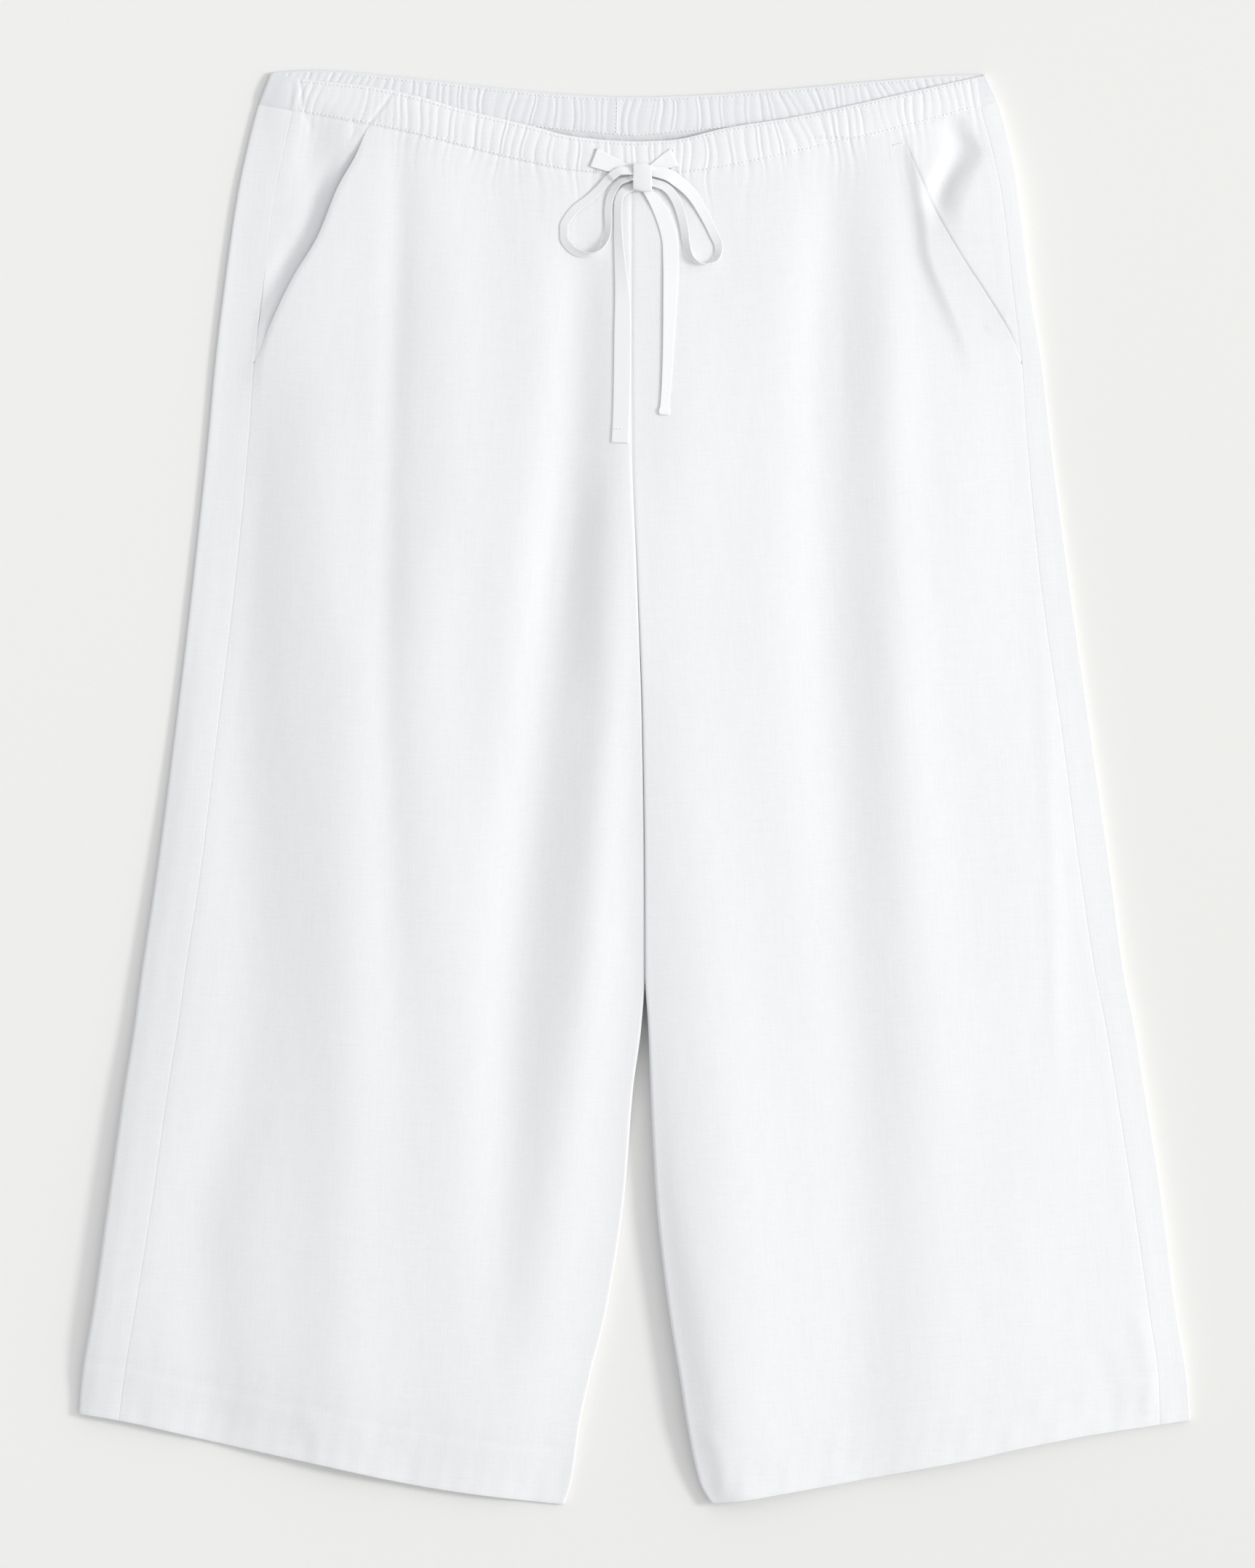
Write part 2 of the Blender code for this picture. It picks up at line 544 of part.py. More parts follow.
def gather_place(phase, count):
    """Share of the casing's width at a phase counted in gathers, with uneven spacing."""
    drift = GATHER_DRIFT * (math.sin(phase * 2.17) + 0.6 * math.sin(phase * 0.83 + 1.0))
    ends = math.sin(math.pi * phase / count)
    return (phase + drift * ends) / count


def gather_columns(count, steps):
    """Shares and crest heights of a casing's columns, with a few of them for each gather."""
    columns = []
    for i in range(count * steps + 1):
        phase = i / steps
        crest = math.sin(math.pi * (phase % 1.0)) ** 0.8
        strength = 0.62 + 0.38 * math.sin(math.floor(phase) * 1.9 + 0.7)
        columns.append((gather_place(phase, count), crest * strength))
    return columns


FRONT_COLUMNS = gather_columns(FRONT_GATHERS, FRONT_GATHER_STEPS)


def plainness(x):
    """1 on gathered casing and 0 in the middle of a plain patch."""
    share = 1.0
    for centre, half in PLAIN_PATCHES:
        share = min(share, ease((abs(x - centre) - half * 0.5) / half))
    return share


def leg_side(x):
    return -1 if x < 0 else 1


def casing_front(material):
    """Front half of the casing, with its gathers raised on the outside."""
    def point(column, row, under):
        share, crest = column
        across, crown, strength = row
        left = lambda at: side_seam_x(-1, at) + SEAM_GAP / 2
        right = lambda at: side_seam_x(1, at) - SEAM_GAP / 2
        x, y = settle(0.0, lambda at: mix(left(at), right(at), share),
                      lambda at: FRONT_FOOT_AT(at) + SEAM_GAP / 2, FRONT_TOP_AT, across)
        base = top_height(leg_side(x), x, y)
        if under:
            return Vector((x, y, base - CASING_WALL))
        return Vector((x, y, base + crown + FRONT_GATHER_HEIGHT * crest * strength * plainness(x)))

    outer = [[point(column, row, False) for column in FRONT_COLUMNS] for row in FRONT_CASING_ROWS]
    ends = (FRONT_CASING_ROWS[0], FRONT_CASING_ROWS[-1])
    inner = [[point(column, row, True) for column in FRONT_COLUMNS] for row in ends]
    return closed_cloth("casing_front", outer, inner, material)


def casing_back(material):
    """Back half of the casing: under the front, round both side folds and up to the seams."""
    folds = []
    for side in (-1, 1):
        chain = [("side", side, i / SIDE_SPANS) for i in range(SIDE_SPANS, 0, -1)]
        chain += [("over fold", side, a) for a in edge_angles(EDGE_STEPS, rising=False)[:-1]]
        chain += [("under fold", side, a) for a in edge_angles(EDGE_STEPS, rising=True)]
        folds.append(chain)
    gathers = gather_columns(BACK_GATHERS, BACK_GATHER_STEPS)[1:-1]
    columns = [(piece, 0.0) for piece in folds[0]]
    columns += [(("flat", 0, share), crest) for share, crest in gathers]
    columns += [(piece, 0.0) for piece in reversed(folds[1])]

    def column_x(piece, y):
        kind, side, amount = piece
        if kind == "flat":
            left = outer_x(-1, y) + BODY_AT["outer_radius"](y)
            right = outer_x(1, y) - BODY_AT["outer_radius"](y)
            return mix(left, right, amount)
        radius = BODY_AT["outer_radius"](y)
        outer = outer_x(side, y)
        if kind == "side":
            seam = side_seam_x(side, y) + side * SEAM_GAP / 2
            return mix(outer - side * radius, seam, amount)
        return outer - side * radius * (1 - math.cos(amount))

    def point(column, across):
        piece = column[0]
        over = piece[0] in ("side", "over fold")
        foot = FRONT_FOOT_AT if over else back_foot
        top = FRONT_TOP_AT if over else BACK_TOP_AT
        x, y = settle(0.0, lambda at: column_x(piece, at),
                      lambda at: foot(at) + SEAM_GAP / 2, top, across)
        side = piece[1] or leg_side(x)
        z = top_height(side, x, y) if over else under_height(side, x, y)
        return Vector((x, y, z))

    outer = [[point(column, row[0]) for column in columns] for row in BACK_CASING_ROWS]

    def depth(r, c):
        crest = columns[c][1] * plainness(outer[r][c].x)
        crown = BACK_CASING_ROWS[r][1] if columns[c][0][0] == "flat" else 0.0
        return CASING_WALL + crown * 0.6 + BACK_GATHER_HEIGHT * crest * BACK_CASING_ROWS[r][2]

    inner = moved_in(outer, depth, -1)
    return closed_cloth("casing_back", inner, [outer[0], outer[-1]], material)


def crest_at(x, y):
    """Height share of the front casing's gathers at a place."""
    left = side_seam_x(-1, y)
    share = (x - left) / (side_seam_x(1, y) - left)
    shares = [column[0] for column in FRONT_COLUMNS]
    i = min(len(shares) - 1, max(1, bisect.bisect_left(shares, share)))
    return max(FRONT_COLUMNS[i - 1][1], FRONT_COLUMNS[i][1]) * plainness(x)


def cloth_below(x, y):
    """The height of what carries a tape: the casing above its foot, the panels below it."""
    height = top_height(leg_side(x), x, y)
    if y > FRONT_FOOT_AT(x) - SEAM_GAP:
        height += CASING_PUFF + FRONT_GATHER_HEIGHT * crest_at(x, y)
    return height


def tape_route(rows):
    """Evenly spaced stations along a smooth curve: place, turn, direction across, half width."""
    lengths = [0.0]
    for before, after in zip(rows, rows[1:]):
        lengths.append(lengths[-1] + math.dist(before[:2], after[:2]))
    table = [(s, *row) for s, row in zip(lengths, rows)]
    x_at, y_at, lift_at, turn_at, share_at = (reader(table, 0, i) for i in range(1, 6))
    total = lengths[-1]
    count = max(3, round(total / TAPE_SPACING))
    stations = [total * i / count for i in range(count + 1)]
    places = [Vector((x_at(s), y_at(s), 0.0)) for s in stations]
    route = []
    for i, s in enumerate(stations):
        ahead = places[min(i + 1, count)] - places[max(i - 1, 0)]
        across = Vector((ahead.y, -ahead.x, 0.0)).normalized()
        half = TAPE_WIDTH / 2 * share_at(s)
        turn = math.radians(turn_at(s))
        rest = []
        for k in (-1.0, -0.5, 0.0, 0.5, 1.0):
            spot = places[i] + across * half * math.cos(turn) * k
            rest.append(cloth_below(spot.x, spot.y) - half * math.sin(turn) * k)
        thick = TAPE_THICKNESS / 2 * abs(math.cos(turn))
        z = max(rest) + REST_CLEARANCE + thick + lift_at(s)
        route.append((Vector((places[i].x, places[i].y, z)), turn, across, half))
    return route


def tape(name, rows, material):
    """A flat tape swept along a route, turned about its own line where it stands on edge."""
    points = []
    faces = []
    route = tape_route(rows)
    for place, turn, across, half in route:
        wide = across * math.cos(turn) + Vector((0, 0, 1)) * math.sin(turn)
        thick = Vector((0, 0, 1)) * math.cos(turn) - across * math.sin(turn)
        for w, t in ((-1, -1), (1, -1), (1, 1), (-1, 1)):
            points.append(place + wide * w * half + thick * t * TAPE_THICKNESS / 2)
    for i in range(len(route) - 1):
        for k in range(4):
            a = i * 4 + k
            b = i * 4 + (k + 1) % 4
            faces.append((a, b, b + 4, a + 4))
    end = (len(route) - 1) * 4
    faces.append((3, 2, 1, 0))
    faces.append((end, end + 1, end + 2, end + 3))
    return mesh_object(name, points, faces, material)


def knot(material):
    """The tape's tight knot, a rounded lump on the casing's foot."""
    work = bmesh.new()
    bmesh.ops.create_cube(work, size=1.0)
    bmesh.ops.subdivide_edges(work, edges=work.edges, cuts=3, use_grid_fill=True)
    x, y = KNOT_CENTRE
    spots = ((x + a * KNOT_SIZE[0], y + KNOT_SIZE[1] * 0.4) for a in (-0.4, -0.2, 0, 0.2, 0.4))
    floor = max(cloth_below(*spot) for spot in spots) + SEAM_GAP
    for vertex in work.verts:
        co = vertex.co * 2
        corner = abs(co.x * co.y) + abs(co.x * co.z) + abs(co.y * co.z)
        size = Vector(KNOT_SIZE) / 2 * (1 - KNOT_ROUNDING * corner)
        shaped = Vector((co.x * size.x, co.y * size.y, co.z * size.z))
        vertex.co = (Vector((x, y, floor + KNOT_SIZE[2] / 2)) + shaped) * MM
    bmesh.ops.triangulate(work, faces=work.faces)
    mesh = bpy.data.meshes.new("tie_knot")
    work.to_mesh(mesh)
    work.free()
    mesh.materials.append(material)
    mesh.shade_smooth()
    piece = bpy.data.objects.new("tie_knot", mesh)
    bpy.context.scene.collection.objects.link(piece)
    return piece


def cloth_material(look):
    material = bpy.data.materials.new(look["name"])
    material.use_nodes = True
    shader = material.node_tree.nodes["Principled BSDF"]
    shader.inputs["Base Color"].default_value = look["color"]
    shader.inputs["Roughness"].default_value = look["roughness"]
    shader.inputs["Metallic"].default_value = 0.0
    return material


def build():
    for old in list(bpy.data.objects):
        bpy.data.objects.remove(old, do_unlink=True)
    linen = cloth_material(LINEN)
    tape_look = cloth_material(TAPE)
    for side in (-1, 1):
        front_panel(side, linen)
        back_panel(side, linen)
        side_panel(side, linen)
    casing_front(linen)
    casing_back(linen)
    knot(tape_look)
    for name, rows in ROUTES.items():
        tape(name, rows, tape_look)


build()
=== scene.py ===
"""White linen capri trousers, laid flat with the front upwards: cloth, seams, stitches and a bow.

X runs to the right of the laid garment, Y from the hems to the waist and Z up from the table.
Sizes are in millimetres, and turn into metres where a mesh is made.
"""
import math

import bpy
import numpy as np
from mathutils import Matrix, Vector


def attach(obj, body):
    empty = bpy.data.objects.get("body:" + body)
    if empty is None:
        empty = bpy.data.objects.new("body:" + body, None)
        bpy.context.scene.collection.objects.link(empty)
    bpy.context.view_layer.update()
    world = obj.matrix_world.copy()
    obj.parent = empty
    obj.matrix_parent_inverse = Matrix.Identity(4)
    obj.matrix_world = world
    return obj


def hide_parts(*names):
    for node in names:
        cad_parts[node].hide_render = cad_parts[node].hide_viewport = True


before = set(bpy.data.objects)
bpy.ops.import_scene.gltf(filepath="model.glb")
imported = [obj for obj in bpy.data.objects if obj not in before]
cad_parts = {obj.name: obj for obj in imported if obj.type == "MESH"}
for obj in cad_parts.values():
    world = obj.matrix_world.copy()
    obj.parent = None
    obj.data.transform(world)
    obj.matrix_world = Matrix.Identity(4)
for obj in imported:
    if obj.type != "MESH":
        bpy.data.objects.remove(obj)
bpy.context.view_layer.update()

MM = 0.001
SIDE_NAME = {-1: "left", 1: "right"}

# Cloth and seams
WALL = 1.0  # room that one layer takes in the frame
CASING_WALL = 2.2  # the turned casing with its elastic
SEAM_GAP = 0.3  # space between two solids of the frame
LEG_GAP = 0.1
LEAST_STACK = 2 * WALL + SEAM_GAP + 0.6
CLOTH_LIFT = 0.15  # the lowest layer's middle above the table
MOUTH_ROLL = {-1: 0.4, 1: 0.08}  # radius of a pocket mouth's turned edge
SEAM_ROLL = 0.08  # the same at a seam that is pressed open
SEAM_DIP = 0.03  # how deep a seam dips at its stitches
SEAM_SWELL = (0.08, 5.0, 4.0)  # over its allowances: height, place, half width
SEAM_HALF = 0.9
CENTRE_DIP = (0.35, 1.1)  # the centre seam's dip and half width
HEM_ROLL = 0.7
HEM_DEPTH = 32.0
HEM_STEP = (0.25, 6.0)  # where the turned-up cloth ends: height and width of the step
HEM_RIPPLE = 0.14
HEM_LINE = (0.3, 1.8)  # depth and half width of the line of blind stitches
FACING = 9.0  # cloth turned back behind a pocket mouth
PANEL_FACING = 6.0
SLACK = (0.2, 0.025)  # long and short unevenness of laid cloth
GRAIN_LEAN = 4.0  # how far a leg's threads lean, in degrees

# Rows and columns of the pieces' grids: about how long each stretch is, and the step along it
SPANS = {
    "front columns": (290.0, 1.25),
    "under columns": (300.0, 6.0),
    "outer strip": (24.0, 1.25),
    "side panel columns": (75.0, 1.25),
    "side panel rows": (145.0, 1.6),
    "front casing columns": (405.0, 0.42),
    "front casing rows": (20.0, 0.7),
    "back casing columns": (400.0, 0.42),
    "back casing rows": (24.0, 0.8),
    "casing strip": (16.0, 1.25),
}
LEG_ROWS = (790.0, 2.5)
NEAR_CASING = (30.0, 0.9)  # rows are this much closer together next to the casing
SETTLE = 7  # rounds in which a point settles between two curved edges
PRESSED_STEPS = 5  # rows round a pressed edge
# Columns on a piece's rolled edges, and the x where settling starts
ROLL_COLUMNS = {"front": 8, "back": 9, "casing": 7}
START_X = {"leg": 150, "outer strip": 300, "side panel": 190, "casing end": 205}

# Outline from the hems up: the outer folds, the side seams and the inner edges of the legs
OUTLINE_COLUMNS = ("y", "outer_left", "side_left", "inner_left", "inner_right", "side_right",
                   "outer_right")
OUTLINE = (
    (-421, -330, -307, -41.0, 45.6, 311, 331),
    (-408, -329, -306, -36.8, 38.3, 310, 330),
    (-372, -326, -302, -31.3, 30.5, 308, 326),
    (-348, -324, -299, -26.1, 26.8, 307, 324),
    (-306, -317, -292, -15.9, 20.0, 301, 317),
    (-242, -308, -282, -5.9, 12.8, 292, 309),
    (-178, -299, -273, -0.7, 9.4, 282, 299),
    (-140, -293, -267, 4.2, 8.0, 276, 293),
    (-110, -289, -263, 6.2, 6.2, 270, 287),
    (-50, -280, -254, 6.0, 6.0, 261, 279),
    (35, -269, -244, 4.8, 4.8, 250, 267),
    (120, -259, -234, 1.8, 1.8, 238, 255),
    (205, -250, -226, -1.5, -1.5, 230, 244),
    (248, -246, -223, -1.7, -1.7, 227, 239),
    (290, -241, -218, -1.7, -1.7, 222, 232),
    (346, -233, -211, -1.6, -1.6, 215, 225),
    (375, -227, -205, -1.4, -1.4, 209, 220),
    (398, -221, -200, -1.3, -1.3, 203, 214),
    (418, -213.5, -196, -1.3, -1.3, 200, 205),
)

# Curves across the garment: x, y
HEM_LEFT = ((-330, -367), (-302, -371.5), (-245, -384.5), (-186, -397), (-122, -410.5),
            (-77, -417), (-41, -421), (0, -423))
HEM_RIGHT = ((-5, -422), (46, -420), (95, -413), (151, -403), (195, -395), (229, -387.5),
             (273, -379.5), (307, -374.5), (331, -371))
BACK_TOP = ((-213.5, 419), (-188, 420.5), (-137, 416.5), (-86, 410.7), (-35, 406), (0, 404.7),
            (33, 405.6), (84, 409), (135, 413.5), (187, 417.5), (205, 418))
FRONT_TOP = ((-213.5, 419), (-196, 415.5), (-157, 411), (-125, 404.3), (-104, 398), (-60, 387.2),
             (-39, 381.8), (-18, 379.2), (0, 378.3), (19, 378.9), (56, 386.6), (93, 392.5),
             (135, 401.3), (178, 411), (205, 417))
FRONT_CASING_FOOT = ((-221, 400), (-194, 394.8), (-167, 389.8), (-135, 383.2), (-100, 374.5),
                     (-69, 366.8), (-34, 360), (0, 357.6), (35, 359.6), (72, 366), (109, 374.4),
                     (130, 379), (151, 384), (172, 389.6), (188, 394), (203, 398.3), (214, 401.5))
BACK_CASING_FOOT = (380.5, 0.092)  # y in the middle, and rise for each millimetre to the sides

# Slanted pocket mouths, from the casing down to the side seam: y, x
MOUTH_LEFT = ((249, -222.6), (274, -212), (299, -199.7), (321, -186.1), (351, -173.7),
              (370, -163.1), (385, -156.7), (395, -150.3))
MOUTH_RIGHT = ((249, 226.6), (262, 221.4), (289, 205.2), (305, 194.6), (333, 178), (355, 167.8),
               (377, 158.4), (395, 151))
MOUTH_FOOT = 249
MOUTH_TOP = 395
UNDERLAP = (6.0, 9.0)
MOUTH_STEP = {-1: 3.2, 1: 0.6}  # the side panel's depth under the front panel's edge
STEP_WIDTH = 25.0  # the step is smaller where the side panel is narrower than this
LEAST_WIDTH = 8.0
UNDER_LIMIT = 1.1  # it grows up to this share of the way behind the front panel's edge
PANEL_GAP = 0.06  # the side panel lies this far under the front panel where they are sewn
MOUTH_GAPE = {-1: 0.4, 1: 0.1}
MOUTH_DIP = {-1: (0.9, 11.0, 6.0), 1: (0.5, 0.0, 1.2)}  # the side panel's dip: depth, place, width
MOUTH_LIFT = {-1: 0.5, 1: 1.2}
MOUTH_LIFT_REACH = 16.0
MOUTH_BEND = {-1: 0.5, 1: 0.0}  # how far the front panel's edge bends down again
BEND_REACH = 2.2
FOOT_FADE = (2.0, 34.0)  # the layers are sewn together at the casing's foot: start and length
LIFT_FADE = 25.0  # the mouth's forms grow over these lengths above its foot
BEND_FADE = 12.0
ROLL_FADE = 6

# Loft of the upper layer: y, loft
LOFT = ((-421, 10.9), (-300, 10.6), (-180, 9.9), (-110, 9.4), (0, 8.6), (100, 7.7), (200, 6.9),
        (300, 6.3), (380, 6.1), (421, 6.0))
OUTER_ROLL = {-1: 4.0, 1: 0.8}  # radii of the legs' rolled outer and inner edges
INNER_ROLL = {-1: 2.4, 1: 2.6}
FORK_TOP = 205
FORK = 77
# How much thinner the laid cloth is at its outer folds and inner edges: y, fall, reach
FALL_COLUMNS = ("y", "fall", "reach")
OUTER_FALL = {
    -1: ((-421, 0.6, 46), (-330, 0.6, 46), (-200, 1.0, 46), (-93, 2.1, 46), (0, 3.2, 46),
         (100, 4.0, 46), (200, 3.8, 46), (300, 2.4, 46), (421, 2.2, 46)),
    1: ((-421, 2.8, 75), (200, 3.2, 75), (300, 1.2, 72), (421, 0.5, 70))}
INNER_FALL = {
    -1: ((-421, 4.5, 34), (-240, 4.5, 34), (-160, 2.6, 30), (-110, 1.6, 26), (0, 1.0, 22),
         (77, 0.6, 20), (205, 0, 20), (421, 0, 20)),
    1: ((-421, 3.8, 14), (-330, 3.8, 14), (-240, 2.1, 10), (-120, 0.4, 7), (0, 0.1, 6),
        (77, 0, 6), (421, 0, 6))}
EDGE_FALL = {-1: (1.2, 7.0), 1: (0.0, 7.0)}  # a last, narrow fall at the outer folds
TOUCH = (-110.0, 90.0, 0.4)  # above this y the legs touch and roll less: y, length of change, share
HEM_FALL = 4.8  # the fall at the hems
HEM_REACH = 34.0
STACK_SOFTNESS = 0.3  # how softly the upper layer comes to lie on those below

# Long soft folds of the upper layer: y, x, height above the loft, half width
FOLD_COLUMNS = ("y", "x", "height", "width")
FOLD_DEPTH = 1.1
# How many times wider than its left side a fold's right side is
LONG_RIGHT_SIDE = {"left inner shelf": 3.0, "right pocket ridge": 9.0,
                   "left mouth flank": 6.0, "right mouth flank": 24.0}
FOLDS = {
    "left outer trough": (
        (-421, -242, -2.2, 20), (-361, -246, -2.6, 22), (-263, -252, -2.4, 22),
        (-178, -232, -2.2, 24), (-93, -226, -2.4, 24), (-8, -227, -2.4, 23),
        (56, -227, -2.2, 22), (120, -228, -1.8, 19), (200, -228, -1.2, 17), (240, -229, -0.3, 14)),
    "left outer ridge": (
        (-421, -172, 1.4, 24), (-361, -173, 1.6, 24), (-263, -171, 2.2, 24),
        (-178, -167, 2.6, 24), (-93, -167, 2.6, 24), (56, -166, 2.2, 23), (120, -178, 1.6, 22),
        (200, -184, 1.1, 20), (260, -184, 0, 18)),
    "left groove": (
        (-180, -137, 0, 12), (-93, -140, -0.4, 11), (-8, -143, -0.6, 10), (56, -145, -0.8, 10),
        (179, -143, -1.0, 9), (282, -140, -1.1, 9), (340, -138, -1.0, 9), (385, -138, -0.4, 8)),
    "left middle ridge": (
        (-300, -110, 0, 26), (-93, -118, 1.2, 24), (56, -124, 1.6, 22), (120, -120, 1.7, 22),
        (179, -110, 1.7, 24), (282, -110, 1.5, 22), (380, -112, 0.4, 18)),
    "left inner trough": (
        (-421, -84, 0, 18), (-361, -84, -0.4, 18), (-320, -79, -1.2, 19), (-263, -76, -2.2, 19),
        (-205, -74, -2.8, 19), (-150, -72, -3.2, 19), (-93, -67, -3.5, 20), (-8, -58, -4.1, 20),
        (56, -51, -4.3, 19), (120, -45, -4.3, 17), (200, -37, -3.1, 16), (282, -33, -2.3, 15),
        (346, -32, 0, 15)),
    "left inner ridge": (
        (-421, -62, 0, 16), (-327, -60, 0.1, 18), (-263, -48, 0.7, 18), (-178, -37, 1.9, 18),
        (-93, -26, 2.4, 16), (-8, -20, 2.3, 14), (56, -14, 1.5, 12), (179, -9, 0.9, 12),
        (282, -8, 0.4, 12), (340, -8, 0, 12)),
    "left inner shelf": (
        (40, -18, 0, 14), (90, -17, 1.4, 14), (150, -15, 1.3, 13), (195, -13, 0, 12)),
    "right inner ridge": (
        (-421, 58, 4.0, 34), (-327, 52, 4.6, 38), (-263, 48, 4.6, 40), (-178, 42, 3.8, 38),
        (-93, 34, 3.0, 34), (-8, 27, 2.3, 31), (56, 25, 2.0, 30), (179, 24, 1.6, 27),
        (282, 22, 0.8, 22), (340, 20, 0, 18)),
    "right trough": (
        (-421, 130, -0.8, 22), (-320, 134, -1.1, 22), (-205, 130, -1.7, 23), (-93, 123, -2.3, 23),
        (30, 119, -2.9, 23), (150, 114, -3.4, 22), (250, 114, -3.5, 20), (320, 116, -2.4, 18),
        (380, 118, -0.5, 16)),
    "right ridge": (
        (-421, 188, 0.6, 26), (-263, 174, 1.0, 24), (-93, 164, 1.3, 22), (56, 156, 1.5, 18),
        (231, 151, 1.4, 15), (300, 150, 0.9, 14), (372, 146, 0, 12)),
    "right pocket valley": (
        (326, 178, 0, 6), (335, 178, -0.9, 6.5), (343, 177.5, -2.4, 7), (351, 179.5, -3.1, 7),
        (362, 185, -3.0, 7.5), (374, 190, -2.3, 8), (386, 187, -1.2, 7), (394, 186, -0.2, 6)),
    "right pocket ridge": (
        (316, 193, 0, 9), (328, 193, 0.9, 9), (340, 194, 1.5, 9), (356, 200, 1.8, 9),
        (370, 206, 1.3, 7), (384, 199, 0.5, 6), (394, 196, 0, 6)),
    "right mouth flank": (
        (236, 201, 0, 6), (261, 194, 0.9, 6), (287, 183, 1.8, 6), (312, 173.5, 2.4, 5.5),
        (333, 171, 2.4, 5.5), (352, 167.5, 1.8, 5), (374, 163.5, 0.8, 4.5), (386, 161, 0, 4)),
    "left pocket hollow": (
        (225, -232, 0, 18), (260, -230, -1.0, 18), (300, -228, -1.8, 19), (340, -221, -1.9, 19),
        (375, -214, -1.0, 18), (400, -212, 0, 18)),
    "left mouth crease": (
        (338, -194, 0, 9), (356, -190.5, -0.8, 9), (376, -189, -1.3, 9), (390, -187, -0.9, 8),
        (402, -186, 0, 8)),
    "left mouth flank": (
        (225, -219, 0, 7), (250, -216, 1.3, 7), (280, -208, 2.3, 8), (310, -190.5, 2.6, 9),
        (340, -176, 2.6, 9), (358, -172, 2.0, 9), (372, -170, 1.3, 8), (390, -168, 0.4, 7)),
}

# Creases, listed one by one: from x, y, to x, y, height, half width, sideways bend of the middle
CREASES = {
    "left casing line": (-141.5, 407, -156.5, 387, -0.45, 1.3, 0.5),
    "left casing corner": (-196, 415, -194.8, 397, -0.45, 1.2, 0.6),
    "left casing edge": (-200.5, 413, -202, 398, -0.3, 1.0, 0.4),
    "left corner": (-193, 394, -190, 384, -0.4, 2.0, 1),
    "left panel short": (-165, 391, -166, 380, -0.4, 1.6, 1.5),
    "left strip ridge": (-233, 385, -252, 180, 0.4, 5.0, 0),
    "right pocket fold": (219, 274, 206, 268, 0.35, 2.4, 1),
    "right long line": (240, 60, 246, -160, 0.4, 6.0, 2),
    "left hem corner": (-192, -364, -186, -400, 0.35, 6.0, 2),
    "left hem middle": (-150, -372, -153, -402, -0.25, 5.0, 1),
    "right hem corner": (43, -376, 52, -420, 0.5, 5.0, 3),
    "right hem middle": (118, -376, 122, -408, 0.3, 6.0, -2),
    "right low wrinkle": (292, -306, 301, -372, 0.4, 6.0, 4),
    "right low hollow": (270, -330, 279, -374, -0.3, 7.0, 3),
}
CREASE_FADE = (0.15, 0.35)  # shares of its length: how far a crease runs on, and fades over

# Gathers of the casing
FRONT_GATHERS = (80, 3)  # count and seed
BACK_GATHERS = (90, 11)
BACK_WAVES = (500.0, 300.0)  # the back reads the wander and the crowding this far to the side
GATHER_DRIFT = 0.34  # unevenness of the spacing, from two sines: turns, start, share
GATHER_SINES = ((2.17, 0.0, 1.0), (0.83, 1.0, 0.6))
GATHER_FOLD = 0.31  # depth of the deepest fold between two gathers
GATHER_PUFF = 0.10  # how far the cloth between two folds swells
GATHER_WANDER = 1.9  # how far the folds wander sideways
# Least and most of a gather's depth, width, lean, and reach below the casing
GATHER_SPREAD = ((0.15, 1.0), (0.08, 0.18), (-0.9, 0.9), (4.0, 20.0))
GATHER_WIDEN = 0.03  # how much a gather widens for each millimetre below the casing
LEAN_LIMITS = (0.1, 1.6)  # least and most that a lean leaves of a fold's depth
BELOW_SHARE = 0.25  # share of the relief that the shallowest fold keeps below the casing
PLAIN_SHARE = 0.3
PLAIN_PATCHES = ((-171, 12), (-147, 6), (146, 9))  # x and half width of the ungathered places
CASING_CROWN = 1.0  # the swell between its rows of stitches
CROWN_SHAPE = {"front": 0.85, "back": 0.6}
CALM_TOP = (0.5, 0.85, 0.15)  # how much shallower gathers are at the top: by, from, length
BACK_START = 0.12  # share of the back's height over which its gathers begin
STITCH_GROOVE = 0.15  # depth of the groove at a row of stitches, and its half widths
GROOVE_HALF = {"top": 0.9, "foot": 1.3, "back foot": 1.1}
TOP_GROOVE = 0.7
CROWDING = 0.6  # how unevenly the stitches draw the cloth in
TOP_ROW = 2.2  # the upper row of stitches below the casing's edge
FOOT_ROW = 1.2  # the lower row above the casing's foot
BACK_LINING = 9.0  # how far the back casing's inner layer reaches below its stitches
LINING_ROWS = 8
LINING_ENDS = 0.05  # share of that length at the casing's two ends
CASING_TURN = {"front": 22.0, "back": 26.0}  # how far each half is turned in
EDGE_STEPS = 8  # rows round each rolled upper edge

# Threads
STITCH_PITCH = 2.35
STITCH_LENGTH = 1.75
STITCH_JITTER = 0.12  # unevenness along a row, and across it as a share of that
STITCH_WAVER = 0.1
STITCH_SEED = 61
THREAD_RADIUS = 0.3
THREAD_RISE = 0.1
THREAD_RINGS = (0.55, 1.0, 1.0, 0.55)  # a stitch's thickness along it
THREAD_SIDES = 6
THREAD_ARCH = (1.2, 0.5)  # a stitch's arch and how deep its ends lie, in radii
FINE_THREAD = 0.9 * THREAD_RADIUS
SATIN_STEP = 1.8 * THREAD_RADIUS
SATIN_RISE = 0.15
SLIT = 0.35  # half width of a buttonhole's slit
ROW_INSET = (405.0, 3.0)  # the front's rows end this far inside the side seams, at this y
BACK_ROWS = (165.0, 60.0)  # half lengths of the rows inside the back casing
CENTRE_BACK = (-10.2, 393.0, 20.0, 0.03)  # short seam: x and y of its middle, length, lean
BUTTONHOLES = ((-21.6, 366.6, 96), (21.2, 366.0, 84))  # x, y and lean of each
BUTTONHOLE_SIZE = (13.5, 2.6)
